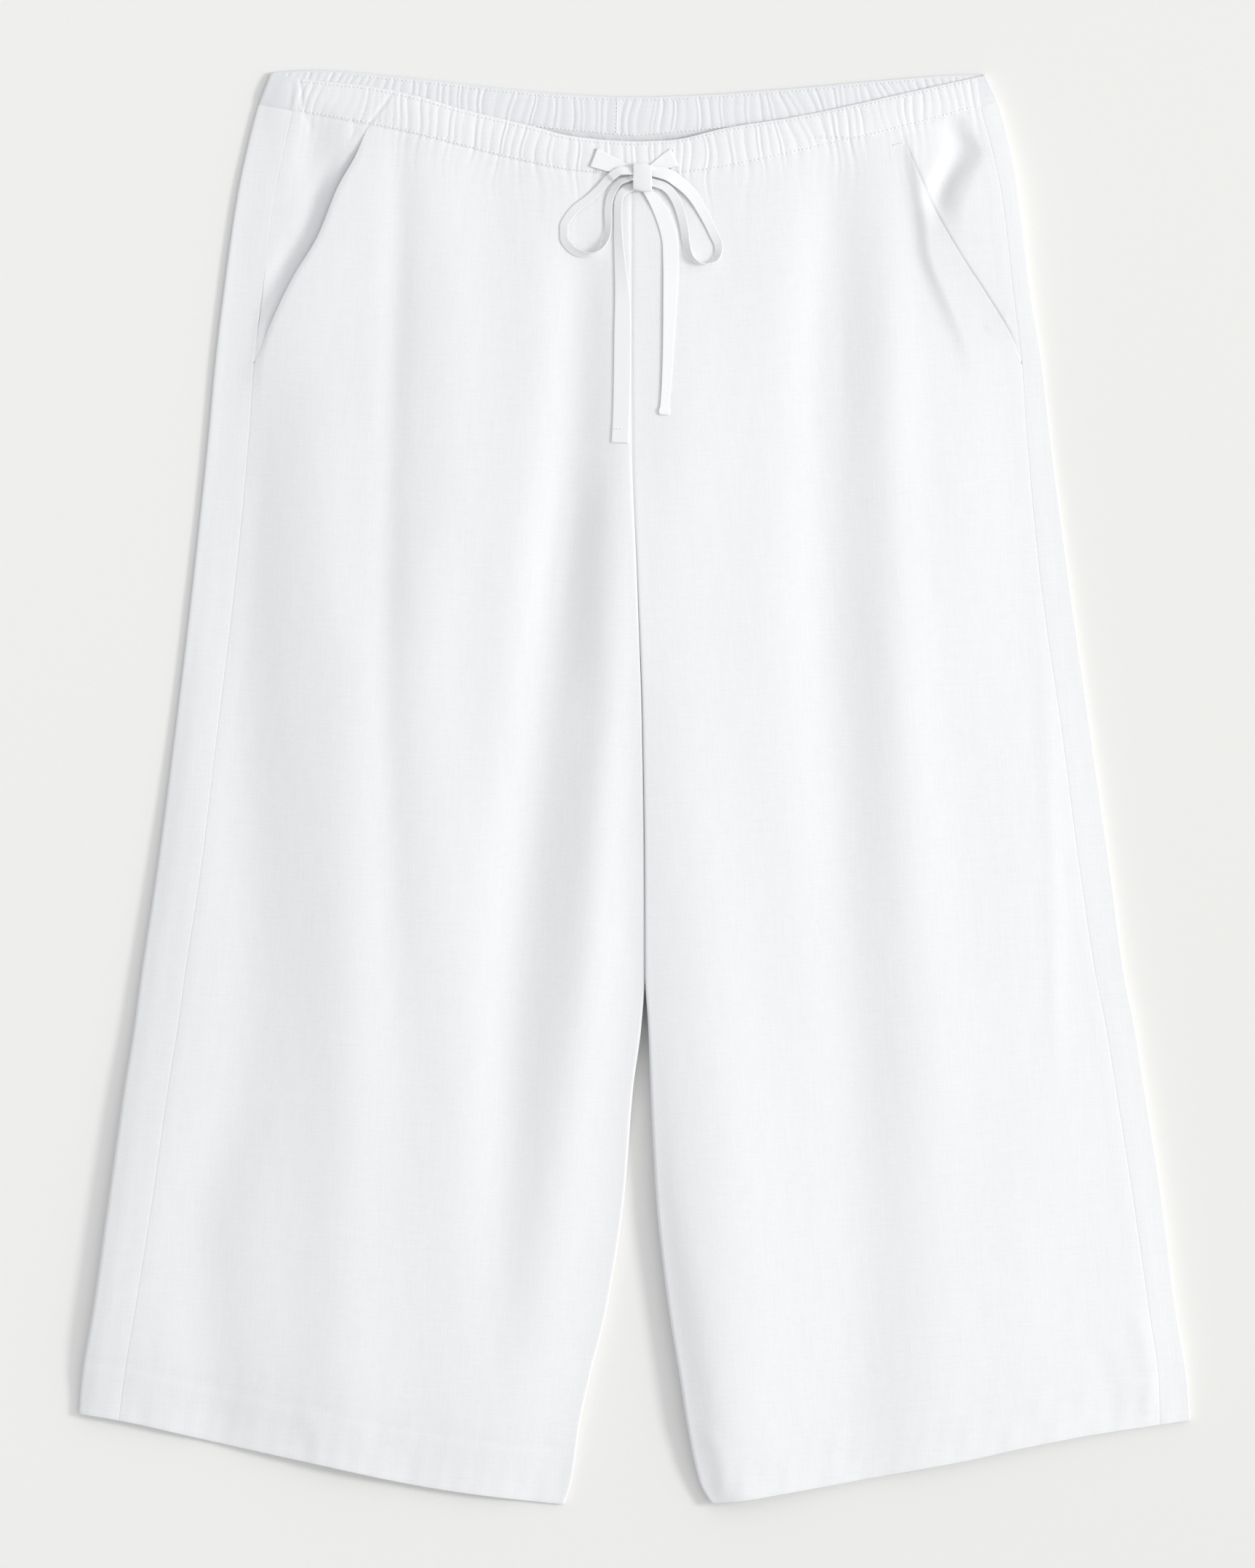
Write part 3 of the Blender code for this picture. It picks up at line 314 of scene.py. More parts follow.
BAR_TACK = (154.5, 376.2, 14, 6.0)  # x, y, lean and length
BAR_WIDTH = 1.5
TAIL_HEM = 8.0  # how far the tail's stitches lie from its end
TAIL_RISE = 0.45  # their height above the tape's middle, as a share of its thickness
TAIL_STITCHES = (5, 0.8, 0.75)  # count, share of the width, half length

# Drawstring: a flat tape tied in a bow
TAPE_WIDTH = 10.0
TAPE_THICKNESS = 0.7
TAPE_HOLLOW = 0.22  # how much thinner its middle is than its folded edges, as a share
TAPE_STEP = 0.9  # about how far apart its stations are
TAPE_SIDES = 28
TAPE_SPOTS = 7  # places across it that may rest on the cloth
TAPE_SHAPE = (0.35, 0.55)  # how boxy its section is, across and in its thickness
TAPE_PUCKER = (0.05, 2.6)  # share and length of the slight waves in its thickness
TAPE_LIFT = 0.1  # between the tape and the cloth below it
TAPE_ROOT = 3.0  # how far each tape runs on inside the knot or its buttonhole
END_KNOT = ("tie_tail_right", 2.2, 1.7)  # the tail with a small knot, its place and size
KNOT_CENTRE = (4.7, 356.2)
KNOT_SIZE = (11.4, 16.4, 5.0)
KNOT_TILT = 0.12  # its rise for each millimetre to the right
KNOT_LEAN = -1.4  # y of its right end, less y of its left end
KNOT_SPOTS = (-0.4, -0.2, 0.0, 0.2, 0.4)  # where it may rest, in shares of its width
KNOT_BACK = 0.4  # how far above its middle that is, as a share of its length
KNOT_RINGS = (15, 48)  # rings along it, and points round each
KNOT_SHAPE = (0.7, 0.4)  # how boxy its section is, across and in its depth
KNOT_WAIST = 0.1  # how much thinner it is at its ends
KNOT_SPAN = 0.98
KNOT_END = 0.72  # size of the ring that closes each end
KNOT_SWELL = (0.35, 1.2)  # how much an end knot adds to the tape's width and thickness
# Routes from the knot outwards: x, y, lift above the cloth, turn of the tape in degrees, where
# 0 and 180 lie flat and 90 stands on edge, and the share of its width that isn't folded in
ROUTES = {
    "tie_loop_left": (
        (-1.1, 360.0, 1.4, 156, 0.5), (-7.4, 360.2, 1.4, 160, 0.52), (-13.4, 357.0, 1.0, 164, 0.52),
        (-20.4, 349.8, 0.5, 167, 0.52), (-27.4, 343.4, 0.2, 169, 0.52), (-34.2, 338.4, 0.1, 169, 0.52),
        (-38.6, 333.2, 0.1, 169, 0.52), (-41.2, 327.6, 0.1, 168, 0.52),
        (-41.2, 321.6, 0.1, 164, 0.52), (-38.2, 316.2, 0.1, 156, 0.52), (-32.8, 312.4, 0.1, 140, 0.52),
        (-27.0, 311.2, 0.1, 114, 0.5), (-21.8, 313.0, 0.1, 84, 0.5), (-17.8, 317.6, 0.1, 56, 0.5),
        (-15.8, 323.2, 0.1, 36, 0.48), (-15.2, 329.6, 0.1, 24, 0.48), (-15.4, 336.2, 0.1, 18, 0.48),
        (-14.8, 342.4, 0.3, 18, 0.48), (-12.4, 348.8, 0.7, 24, 0.48), (-8.2, 354.0, 1.1, 34, 0.46),
        (-1.2, 356.2, 1.3, 44, 0.42)),
    "tie_loop_right": (
        (11.0, 359.8, 2.2, 0, 0.6), (18.0, 358.4, 2.0, 3, 0.7), (25.8, 353.9, 1.4, 4, 0.72),
        (33.6, 346.8, 0.8, 3, 0.68), (40.2, 336.3, 0.4, 0, 0.6), (46.0, 324.6, 0.2, -6, 0.54),
        (49.4, 315.5, 0.2, -20, 0.52), (47.6, 308.6, 0.2, -50, 0.5), (40.6, 305.6, 0.2, -88, 0.5),
        (33.4, 309.4, 0.2, -124, 0.5), (30.4, 317.4, 0.2, -148, 0.52),
        (29.1, 327.2, 0.3, -162, 0.54), (26.6, 337.7, 0.6, -168, 0.56),
        (22.9, 345.8, 1.2, -173, 0.54), (17.2, 351.4, 1.6, -176, 0.5), (11.1, 353.4, 1.8, -178, 0.46)),
    "tie_tail_left": (
        (-0.8, 351.0, 0.2, 176, 0.5), (-5.2, 349.4, 0.2, 172, 0.52), (-8.4, 345.8, 0.2, 166, 0.52),
        (-9.6, 340.4, 0.1, 162, 0.52), (-9.7, 333.0, 0.0, 160, 0.52), (-9.4, 322.0, 0.0, 160, 0.56),
        (-8.6, 309.0, 0.0, 165, 0.66), (-7.4, 293.4, 0.0, 171, 0.82), (-6.8, 281.6, 0.0, 175, 0.94),
        (-6.9, 262.0, 0.0, 175, 1.0), (-7.2, 236.0, 0.0, 175, 1.0), (-7.7, 216.4, 0.0, 175, 1.0),
        (-8.5, 201.1, 0.0, 175, 1.0)),
    "tie_tail_right": (
        (8.4, 347.7, 0.3, 4, 0.55), (12.4, 342.4, 0.2, 2, 0.75), (16.6, 334.4, 0.1, 0, 0.9),
        (19.6, 325.8, 0.0, 0, 0.95), (21.2, 316.8, 0.0, 1, 0.95), (21.4, 303.8, 0.0, 2, 0.92),
        (21.0, 288.1, 0.0, 3, 0.84), (20.3, 268.6, 0.0, 3, 0.72), (19.5, 249.0, 0.0, 3, 0.62),
        (18.6, 233.4, 0.0, 3, 0.56), (17.7, 222.9, 0.0, 3, 0.52), (17.3, 217.4, 0.0, 3, 0.5)),
    "tie_stub_left": ((-1.0, 360.6, 0.0, 0, 0.5), (-7.6, 362.2, 0.0, 0, 0.7),
                      (-14.4, 364.6, 0.0, 0, 0.95), (-21.3, 367.3, 0.0, 0, 1.1)),
    "tie_stub_right": ((10.7, 362.0, 0.2, 0, 0.5), (14.0, 363.8, 0.1, 0, 0.65),
                       (17.4, 365.6, 0.0, 0, 0.85), (20.9, 367.2, 0.0, 0, 1.0)),
}

# Camera and light
VIEW_CENTRE = (-4.0, 1.5)
VIEW_HEIGHT = 918.0  # what the picture's long side covers, at the cloth's height
CLOTH_LEVEL = 7.0
LENS = 110.0
SENSOR = 36.0
CLIP = (0.1, 20.0)  # the camera's range in metres
# Two lamps from the right, a broad one and a compact one: place in metres, diameter, power
LAMPS = {"broad key": ((2.85, 0.8, 2.44), 6.4, 72.0), "compact key": ((3.55, 0.3, 2.3), 1.0, 79.0)}
KEY_COLOUR = (1.0, 0.992, 0.975)
FILL_COLOUR = (0.955, 0.975, 1.0)
FILL_STRENGTH = 0.665
FLOOR_COLOUR = (0.811, 0.8025, 0.781)
FLOOR_SIZE = 6.0
FLOOR_PAINTED_SHADE = 0.188  # painted shade: the floor's colour grows this much darker for each metre to the right, to even out the lamps' stronger light there
FLOOR_LEVEL = -5e-5  # metres
# Cloths: colour, thread pitch in metres, slub tint, slub height, depth of the bump, roughness
CLOTHS = {
    "white linen": ((0.832, 0.8335, 0.8425), 0.00055, 0.12, 0.8, 0.00016, 0.85),
    # The back casing's linen is a darker, bluer copy of the white linen: painted shade for its inner
    # face, which lies in shade behind the front casing
    "white linen in painted shade": ((0.780, 0.785, 0.800), 0.00055, 0.12, 0.8, 0.00016, 0.85),
    "white tape": ((0.872, 0.872, 0.872), 0.0005, 0.05, 0.4, 0.0001, 0.85),
    "white thread": ((0.87, 0.873, 0.878), 0.0004, 0.04, 0.3, 0.00005, 0.7),
}
CLOTH_SHEEN = {"Specular IOR Level": 0.25, "Sheen Weight": 0.12, "Sheen Roughness": 0.5}
WEAVE_DEPTH = 0.16
THREAD_SHARE = 0.75  # share of the threads' slubs in the tint, beside the soft clouds
WEAVE_INPUTS = {"Thread Pitch": 0.00055, "Slub Tint": 0.05, "Slub Height": 0.5}
# Noise along the warp, along the weft and in all directions: stretch, scale, detail
SLUBS = (((1.0, 0.045, 1.0), 900.0, 2.0), ((0.05, 1.0, 1.0), 1000.0, 2.0),
         ((1.0, 1.0, 1.0), 260.0, 3.0))


# Numbers and curves

def mix(a, b, t):
    return a + (b - a) * t


def ease(t):
    """0 to 1 with soft ends."""
    t = np.clip(t, 0.0, 1.0)
    return t * t * (3 - 2 * t)


def bell(offset):
    return np.exp(-offset * offset)


def boxy(wave, power):
    """A round profile pushed out towards a box, the more so for a smaller power."""
    return np.sign(wave) * np.abs(wave) ** power


def unit(vectors):
    """The same directions with a length of 1."""
    return vectors / np.maximum(1e-9, np.linalg.norm(vectors, axis=-1, keepdims=True))


def circle(count):
    """Angles evenly round a circle."""
    return np.linspace(0.0, 2 * math.pi, count, endpoint=False)


def reader(rows, key=0, value=1):
    """A smooth function through two columns of a table, straight on past its ends."""
    pairs = sorted((row[key], row[value]) for row in rows)
    keys, values = np.array(pairs, float).T
    gaps = np.diff(keys)
    steps = np.diff(values) / gaps
    before, after = steps[:-1], steps[1:]
    same_way = before * after > 0
    total = np.where(same_way, before + after, 1.0)
    inner = np.where(same_way, 2 * before * after / total, 0.0)
    tangents = np.concatenate([steps[:1], inner, steps[-1:]])

    def read(at):
        at = np.asarray(at, float)
        i = np.clip(np.searchsorted(keys, at, side="right") - 1, 0, len(gaps) - 1)
        t = (at - keys[i]) / gaps[i]
        rise = values[i + 1] - values[i]
        bend_in = gaps[i] * tangents[i] - rise
        bend_out = rise - gaps[i] * tangents[i + 1]
        inside = values[i] + t * rise + t * (1 - t) * ((1 - t) * bend_in + t * bend_out)
        below = values[0] + tangents[0] * (at - keys[0])
        above = values[-1] + tangents[-1] * (at - keys[-1])
        return np.where(at < keys[0], below, np.where(at > keys[-1], above, inside))

    return read


def column_readers(names, rows):
    """One reader for each named column, against the first column."""
    return {name: reader(rows, 0, i) for i, name in enumerate(names) if i}


# The tables as smooth functions

OUTLINE_AT = column_readers(OUTLINE_COLUMNS, OUTLINE)
LOFT_AT = reader(LOFT)
OUTER_FALL_AT = {side: column_readers(FALL_COLUMNS, rows) for side, rows in OUTER_FALL.items()}
INNER_FALL_AT = {side: column_readers(FALL_COLUMNS, rows) for side, rows in INNER_FALL.items()}
FOLDS_AT = [(rows[0][0], rows[-1][0], LONG_RIGHT_SIDE.get(name, 1.0),
             column_readers(FOLD_COLUMNS, rows)) for name, rows in FOLDS.items()]
HEM_AT = {-1: reader(HEM_LEFT), 1: reader(HEM_RIGHT)}
MOUTH_AT = {-1: reader(MOUTH_LEFT), 1: reader(MOUTH_RIGHT)}
BACK_TOP_AT = reader(BACK_TOP)
FRONT_TOP_AT = reader(FRONT_TOP)
FRONT_FOOT_AT = reader(FRONT_CASING_FOOT)


# Outline and height of the laid cloth

def back_foot(x):
    return BACK_CASING_FOOT[0] + BACK_CASING_FOOT[1] * np.abs(x)


def outer_x(side, y):
    return OUTLINE_AT["outer_" + SIDE_NAME[side]](y)


def side_seam_x(side, y):
    return OUTLINE_AT["side_" + SIDE_NAME[side]](y)


def inner_x(side, y):
    """The inner edge of a leg, which meets the other leg at the centre seam above the crotch."""
    gap = np.where(y < FORK, LEG_GAP, 0.0)
    return OUTLINE_AT["inner_" + SIDE_NAME[side]](y) + side * gap / 2


def front_start_x(side, y):
    """The front panel begins at the pocket mouth, and below it at the side seam."""
    return np.where(y <= MOUTH_FOOT, side_seam_x(side, y), MOUTH_AT[side](y))


def inner_at(side, share):
    """x at a share of the roll's radius inside the inner edge, as a function of y."""
    return lambda y: inner_x(side, y) + side * INNER_ROLL[side] * share


def outer_at(side, share):
    """The same inside the outer fold."""
    return lambda y: outer_x(side, y) - side * OUTER_ROLL[side] * share


def across_at(start, end, shares):
    """x at shares of the way between two edges, as a function of y."""
    return lambda y: mix(start(y), end(y), shares)


def fork_share(y):
    """0 where left and right panels join at the centre seam, 1 where the legs are separate."""
    return ease((FORK_TOP - y) / (FORK_TOP - FORK))


def roundness(distance, radius):
    """Profile of a soft pressed fold: 0 at the edge, 1 a radius inside it, and flatter than round."""
    t = np.clip(1 - distance / radius, 0.0, 1.0)
    return (1 - t ** 4) ** 0.25


def stack_height(side, x, y):
    """The upper layer before its edges roll down."""
    height = LOFT_AT(y)
    for low, high, long_right, at in FOLDS_AT:
        here = (y >= low) & (y <= high)
        offset = (x - at["x"](y)) / at["width"](y)
        offset = np.where(offset > 0, offset / long_right, offset)
        height = height + np.where(here, FOLD_DEPTH * at["height"](y) * bell(offset), 0.0)
    at = OUTER_FALL_AT[side]
    height = height - at["fall"](y) * bell((outer_x(side, y) - x) / at["reach"](y))
    fall, reach = EDGE_FALL[side]
    height = height - fall * bell((outer_x(side, y) - x) / reach)
    at = INNER_FALL_AT[side]
    height = height - at["fall"](y) * fork_share(y) * bell((x - inner_x(side, y)) / at["reach"](y))
    above = np.maximum(0.0, y - HEM_AT[side](x))
    spare = height - HEM_FALL * bell(above / HEM_REACH) - LEAST_STACK
    return LEAST_STACK + 0.5 * (spare + np.sqrt(spare * spare + STACK_SOFTNESS))


def edge_drops(side, x, y):
    """How far the outer fold and the inner edge have rolled down at a place, 0 to 1."""
    outer = 1 - roundness(side * (outer_x(side, y) - x), OUTER_ROLL[side])
    inner = 1 - roundness(side * (x - inner_x(side, y)), INNER_ROLL[side])
    start, length, least = TOUCH
    return outer, inner * fork_share(y) * mix(least, 1.0, ease((start - y) / length))


def top_height(side, x, y):
    """The upper face of the garment."""
    outer, inner = edge_drops(side, x, y)
    return stack_height(side, x, y) * (1 - 0.5 * outer - 0.5 * inner)


def under_height(side, x, y):
    """The lower face: flat on the table, rising to half height at the rolled edges."""
    outer, inner = edge_drops(side, x, y)
    return np.maximum(CLOTH_LIFT, stack_height(side, x, y) * 0.5 * (outer + inner))


def height_on(x, y):
    """The upper face on either leg."""
    return np.where(x < 0, top_height(-1, x, y), top_height(1, x, y))


# Gathers, seams, creases and other relief

def uneven(seed, count, low, high):
    """Fixed uneven values, one for each gather or stitch."""
    return np.random.default_rng(seed).uniform(low, high, count)


def gather_places(count):
    """Shares of a casing's width at which its gathers begin, with uneven spacing."""
    phase = np.arange(count + 1, dtype=float)
    drift = GATHER_DRIFT * sum(part * np.sin(phase * turns + start)
                               for turns, start, part in GATHER_SINES)
    return (phase + drift * np.sin(math.pi * phase / count)) / count


def plainness(x):
    """1 on gathered cloth and 0 in the middle of a plain patch."""
    share = np.ones_like(x)
    for centre, half in PLAIN_PATCHES:
        share = np.minimum(share, ease((np.abs(x - centre) - half * 0.5) / half))
    return mix(PLAIN_SHARE, 1.0, share)


def waves(seed, count, shortest, longest, stretch):
    """A few waves with uneven directions, lengths and phases. stretch draws them out along y."""
    dice = np.random.default_rng(seed)
    turns = 2 * math.pi / dice.uniform(shortest, longest, count)
    angle = dice.uniform(0.0, math.pi, count)
    return np.stack([turns * np.cos(angle), turns * np.sin(angle) / stretch,
                     dice.uniform(0.0, 2 * math.pi, count)], axis=1)


GATHER_WAVES = waves(41, 10, 26.0, 80.0, 0.8)
CROWD_WAVES = waves(43, 8, 9.0, 26.0, 1.0)
LONG_WAVES = waves(45, 14, 26.0, 90.0, 2.4)
SHORT_WAVES = waves(47, 12, 9.0, 24.0, 1.6)
HEM_WAVES = waves(49, 9, 12.0, 40.0, 1.0)


def cloudy(parts, x, y):
    """Uneven soft hollows and swellings between about -1 and 1."""
    total = np.zeros(np.broadcast(x, y).shape)
    for turn_x, turn_y, phase in parts:
        total += np.sin(turn_x * x + turn_y * y + phase)
    return total / math.sqrt(len(parts))


def gathers(share, along, away, count, seed):
    """Relief of gathered cloth: thin uneven folds, with the cloth a little swollen between them.

    share runs across the casing and along up it. away is how far below the casing a place is,
    where the folds widen and fade.
    """
    phase = np.interp(share, gather_places(count), np.arange(count + 1))
    index = np.rint(phase).astype(int)
    depth, width, lean, reach = (uneven(seed + i, count + 1, *spread)[index]
                                 for i, spread in enumerate(GATHER_SPREAD))
    width = width + GATHER_WIDEN * away
    offset = np.abs(phase - index)
    core = 1 / (1 + (offset / width) ** 2)
    rim = 1 / (1 + (0.5 / width) ** 2)
    fold = (core - rim) / (1 - rim) * depth * np.clip(1 + lean * (along - 0.5), *LEAN_LIMITS)
    swell = np.cos(2 * math.pi * (phase - index)) * -0.5 + 0.5
    kept = np.where(away > 0, BELOW_SHARE + (1 - BELOW_SHARE) * depth, 1.0)
    return (GATHER_PUFF * swell - GATHER_FOLD * fold) * kept * np.exp(-away / reach)


def front_gathers(x, y):
    """Relief of the front casing's gathers, which fade out on the panels below it."""
    foot = FRONT_FOOT_AT(x)
    along = np.clip((y - foot) / (FRONT_TOP_AT(x) - foot), 0.0, 1.0)
    left = side_seam_x(-1, y)
    share = (x + GATHER_WANDER * cloudy(GATHER_WAVES, x, y) - left) / (side_seam_x(1, y) - left)
    return gathers(share, along, np.maximum(0.0, foot - y), *FRONT_GATHERS) * plainness(x)


def back_gathers(x, y):
    """Relief of the gathers on the inside of the back casing."""
    along = (y - back_foot(x)) / (BACK_TOP_AT(x) - back_foot(x))
    wander = GATHER_WANDER * cloudy(GATHER_WAVES, x + BACK_WAVES[0], y)
    share = (x + wander - outer_x(-1, y)) / (outer_x(1, y) - outer_x(-1, y))
    share = np.clip(share, 0.0, 1.0)
    return gathers(share, np.clip(along, 0.0, 1.0), np.zeros_like(x), *BACK_GATHERS)


def stitch_grooves(x, y):
    """The casing is drawn in along its foot and along the row under its upper edge."""
    foot = bell((y - FRONT_FOOT_AT(x)) / GROOVE_HALF["foot"])
    upper = bell((y - FRONT_TOP_AT(x) + TOP_ROW) / GROOVE_HALF["top"])
    crowd = 1 + CROWDING * cloudy(CROWD_WAVES, x, y)
    return STITCH_GROOVE * (foot + TOP_GROOVE * upper) * crowd


def seam_relief(side, x, y):
    """A seam that is pressed open dips at its stitches and stands up over its allowances."""
    offset = np.abs(x - side_seam_x(side, y))
    height, place, half = SEAM_SWELL
    return height * bell((offset - place) / half) - SEAM_DIP * bell(offset / SEAM_HALF)


def crease_relief(x, y):
    height = np.zeros_like(x)
    past, fade = CREASE_FADE
    for x0, y0, x1, y1, rise, width, bend in CREASES.values():
        length = math.hypot(x1 - x0, y1 - y0)
        way_x, way_y = (x1 - x0) / length, (y1 - y0) / length
        along = ((x - x0) * way_x + (y - y0) * way_y) / length
        across = (x - x0) * -way_y + (y - y0) * way_x
        inside = np.clip(along, 0.0, 1.0)
        arch = 4 * inside * (1 - inside)
        ends = ease((along + past) / fade) * ease((1 + past - along) / fade)
        height += rise * ends * bell((across - bend * arch) / width)
    return height


def hem_relief(side, x, y):
    """The blind hem shows as a slight step where the turned-up cloth ends."""
    above = y - HEM_AT[side](x)
    height, width = HEM_STEP
    step = height * (1 - ease((above - HEM_DEPTH + width / 2) / width))
    ripple = HEM_RIPPLE * cloudy(HEM_WAVES, x, y) * bell(above / HEM_DEPTH)
    depth, half = HEM_LINE
    return step + ripple - depth * bell((above - HEM_DEPTH) / half)


def slack(x, y):
    """The slight unevenness of cloth that has been laid and smoothed by hand."""
    return SLACK[0] * cloudy(LONG_WAVES, x, y) + SLACK[1] * cloudy(SHORT_WAVES, x, y)


def sewn_fade(x, y):
    """0 at the casing's foot, where all layers are sewn down, and 1 clear of it."""
    return ease((FRONT_FOOT_AT(x) - y + FOOT_FADE[0]) / FOOT_FADE[1])


def mouth_lift(side, x, y):
    """The front panel stands up a little along its pocket mouth."""
    distance = np.maximum(0.0, side * (MOUTH_AT[side](y) - x))
    above = y - MOUTH_FOOT
    lift = MOUTH_LIFT[side] * ease(above / LIFT_FADE) * np.exp(-distance / MOUTH_LIFT_REACH)
    bend = MOUTH_BEND[side] * ease(above / BEND_FADE) * bell(distance / BEND_REACH)
    return (lift - bend) * sewn_fade(x, y)


def panel_height(side, x, y):
    """The upper face with all its creases."""
    outer, inner = edge_drops(side, x, y)
    level = np.clip(1 - outer - inner, 0.0, 1.0)
    fine = front_gathers(x, y) - stitch_grooves(x, y) + crease_relief(x, y) + slack(x, y)
    fine = fine + hem_relief(side, x, y) + seam_relief(side, x, y)
    return top_height(side, x, y) + fine * level


# Grids and meshes

def settle(start, side_x, y_from, y_to, shares):
    """Points a share of the way between two curved edges, on columns whose x depends on y."""
    x = start
    for _ in range(SETTLE):
        y = mix(y_from(x), y_to(x), shares)
        x = side_x(y)
    return x, y


def normals_of(grid):
    across = np.gradient(grid, axis=1)
    along = np.gradient(grid, axis=0)
    return unit(np.cross(across, along))


def turned_edge(grid, outward, radius, depth, steps=PRESSED_STEPS):
    """Extends a grid past its last row: round a pressed edge and back behind the cloth.

    outward is 1 where the grid's normals point out of the cloth. depth is how far it runs back.
    radius is a number, or one for each column.
    """
    radius = np.reshape(radius, (-1, 1))
    normal = normals_of(grid) * outward
    ahead = unit(grid[-1] - grid[-2])
    edge = grid[-1]
    rows = [grid]
    for i in range(1, steps + 1):
        angle = math.pi * i / steps
        out = ahead * radius * math.sin(angle)
        rows.append((edge + out - normal[-1] * radius * (1 - math.cos(angle)))[None])
    gone = np.linalg.norm(grid - edge, axis=2).mean(axis=1)
    back = [i for i in range(len(grid) - 2, -1, -1) if gone[i] <= depth]
    rows.append(grid[back] - normal[back] * 2 * radius)
    return np.concatenate(rows)


def turned_side(grid, outward, radius, depth):
    """The same past the first column."""
    flipped = np.swapaxes(grid[:, ::-1], 0, 1)
    return np.swapaxes(turned_edge(flipped, outward, radius, depth), 0, 1)[:, ::-1]


def grid_quads(rows, columns, close=False):
    """The quads between the points of a grid, and also from its last column to its first."""
    index = np.arange(rows * columns).reshape(rows, columns)
    if close:
        index = np.concatenate([index, index[:, :1]], axis=1)
    corners = [index[:-1, :-1], index[:-1, 1:], index[1:, 1:], index[1:, :-1]]
    return np.stack(corners, axis=-1).reshape(-1, 4)


def cloth_mesh(name, grid, outward, material, lean=0.0, close=False):
    """A smooth mesh on a grid of points, with cloth coordinates that follow its threads."""
    quads = grid_quads(*grid.shape[:2], close)
    if outward < 0:
        quads = quads[:, ::-1]
    points = grid.reshape(-1, 3) * MM
    cosine, sine = math.cos(math.radians(lean)), math.sin(math.radians(lean))
    threads = np.stack([points[:, 0] * cosine + points[:, 1] * sine,
                        points[:, 1] * cosine - points[:, 0] * sine, points[:, 2]], axis=1)
    return mesh_piece(name, points, quads.tolist(), material, threads)


def add_object(name, data):
    made = bpy.data.objects.new(name, data)
    bpy.context.scene.collection.objects.link(made)
    return made


def mesh_piece(name, points, faces, material, threads):
    """A smooth piece. threads says where each point lies in the woven cloth."""
    mesh = bpy.data.meshes.new(name)
    mesh.from_pydata(points.tolist(), [], faces)
    mesh.attributes.new("threads", "FLOAT_VECTOR", "POINT")
    mesh.attributes["threads"].data.foreach_set("vector", threads.astype(np.float32).ravel())
    mesh.materials.append(material)
    mesh.shade_smooth()
    return add_object(name, mesh)


def even_shares(stretch):
    length, step = SPANS[stretch]
    return np.linspace(0.0, 1.0, max(2, round(length / step)) + 1)


def round_shares(piece):
    """Shares of a radius at which the columns of a roll lie, from its edge inwards."""
    return 1 - np.cos(np.linspace(0.0, math.pi / 2, ROLL_COLUMNS[piece]))


def row_shares():
    """Rows of a leg panel, closer together next to the casing."""
    length, step = LEG_ROWS
    near, near_step = NEAR_CASING
    far = np.linspace(near, length, round((length - near) / step))
    return np.concatenate([np.arange(0.0, near, near_step), far]) / length


def hem_edge(side):
    """Where the hem's rolled edge begins, for a place x."""
    return lambda x: HEM_AT[side](x) + HEM_ROLL


def columns_grid(shares, places, y_from, y_to, start):
    """x and y of a panel's points. Each of places gives the x of some columns for a place y."""
    share = shares[:, None]
    runs = [settle(np.full_like(share, start), place, y_from, y_to, share) for place in places]
    return [np.concatenate(part, axis=1) for part in zip(*runs)]


def layer(x, y, z):
    return np.stack([x, y, z], axis=-1)


# Legs and pockets

def leg_piece(kind, side, grid, material):
    """The mesh of one leg's piece, with the threads of its cloth along the leg."""
    return cloth_mesh(f"{kind}_{SIDE_NAME[side]}_cloth", grid, side, material, side * GRAIN_LEAN)


def front_panel(side, material):
    """Front of one leg, from the mouth or side seam to the centre seam and the inseam."""
    def roll(y):
        return mix(SEAM_ROLL, MOUTH_ROLL[side], ease((y - MOUTH_FOOT) / ROLL_FADE))

    def start(y):
        return front_start_x(side, y) - side * roll(y)

    places = (across_at(start, inner_at(side, 1), even_shares("front columns")[:-1]),
              inner_at(side, round_shares("front")[::-1]))
    x, y = columns_grid(row_shares(), places, FRONT_FOOT_AT, hem_edge(side), side * START_X["leg"])
    depth, half = CENTRE_DIP
    seam = bell((x - inner_x(side, y)) / half) * (1 - fork_share(y))
    grid = layer(x, y, panel_height(side, x, y) + mouth_lift(side, x, y) - depth * seam)
    grid = turned_edge(grid, side, HEM_ROLL, HEM_DEPTH)
    grid = turned_side(grid, side, roll(grid[:, 0, 1]), FACING)
    return leg_piece("front", side, grid, material)


def back_panel(side, material):
    """Back of one leg: flat on the table, round the outer fold and on top to the side seam."""
    def seam(y):
        return side_seam_x(side, y) + side * SEAM_ROLL

    quarter = round_shares("back")
    outer = outer_at(side, 1)
    low = (inner_at(side, quarter),
           across_at(inner_at(side, 1), outer, even_shares("under columns")[1:-1]),
           outer_at(side, quarter[::-1]))
    high = (outer_at(side, quarter[1:]), across_at(outer, seam, even_shares("outer strip")[1:]))
    hem = hem_edge(side)
    x, y = columns_grid(row_shares(), low, back_foot, hem, side * START_X["leg"])
    below = layer(x, y, under_height(side, x, y))
    x, y = columns_grid(row_shares(), high, FRONT_FOOT_AT, hem, side * START_X["outer strip"])
    above = layer(x, y, panel_height(side, x, y))
    grid = np.concatenate([below, above], axis=1)
    grid = turned_edge(grid, side, HEM_ROLL, HEM_DEPTH)
    grid = turned_side(grid[:, ::-1], -side, SEAM_ROLL, FACING)[:, ::-1]
    return leg_piece("back", side, grid, material)


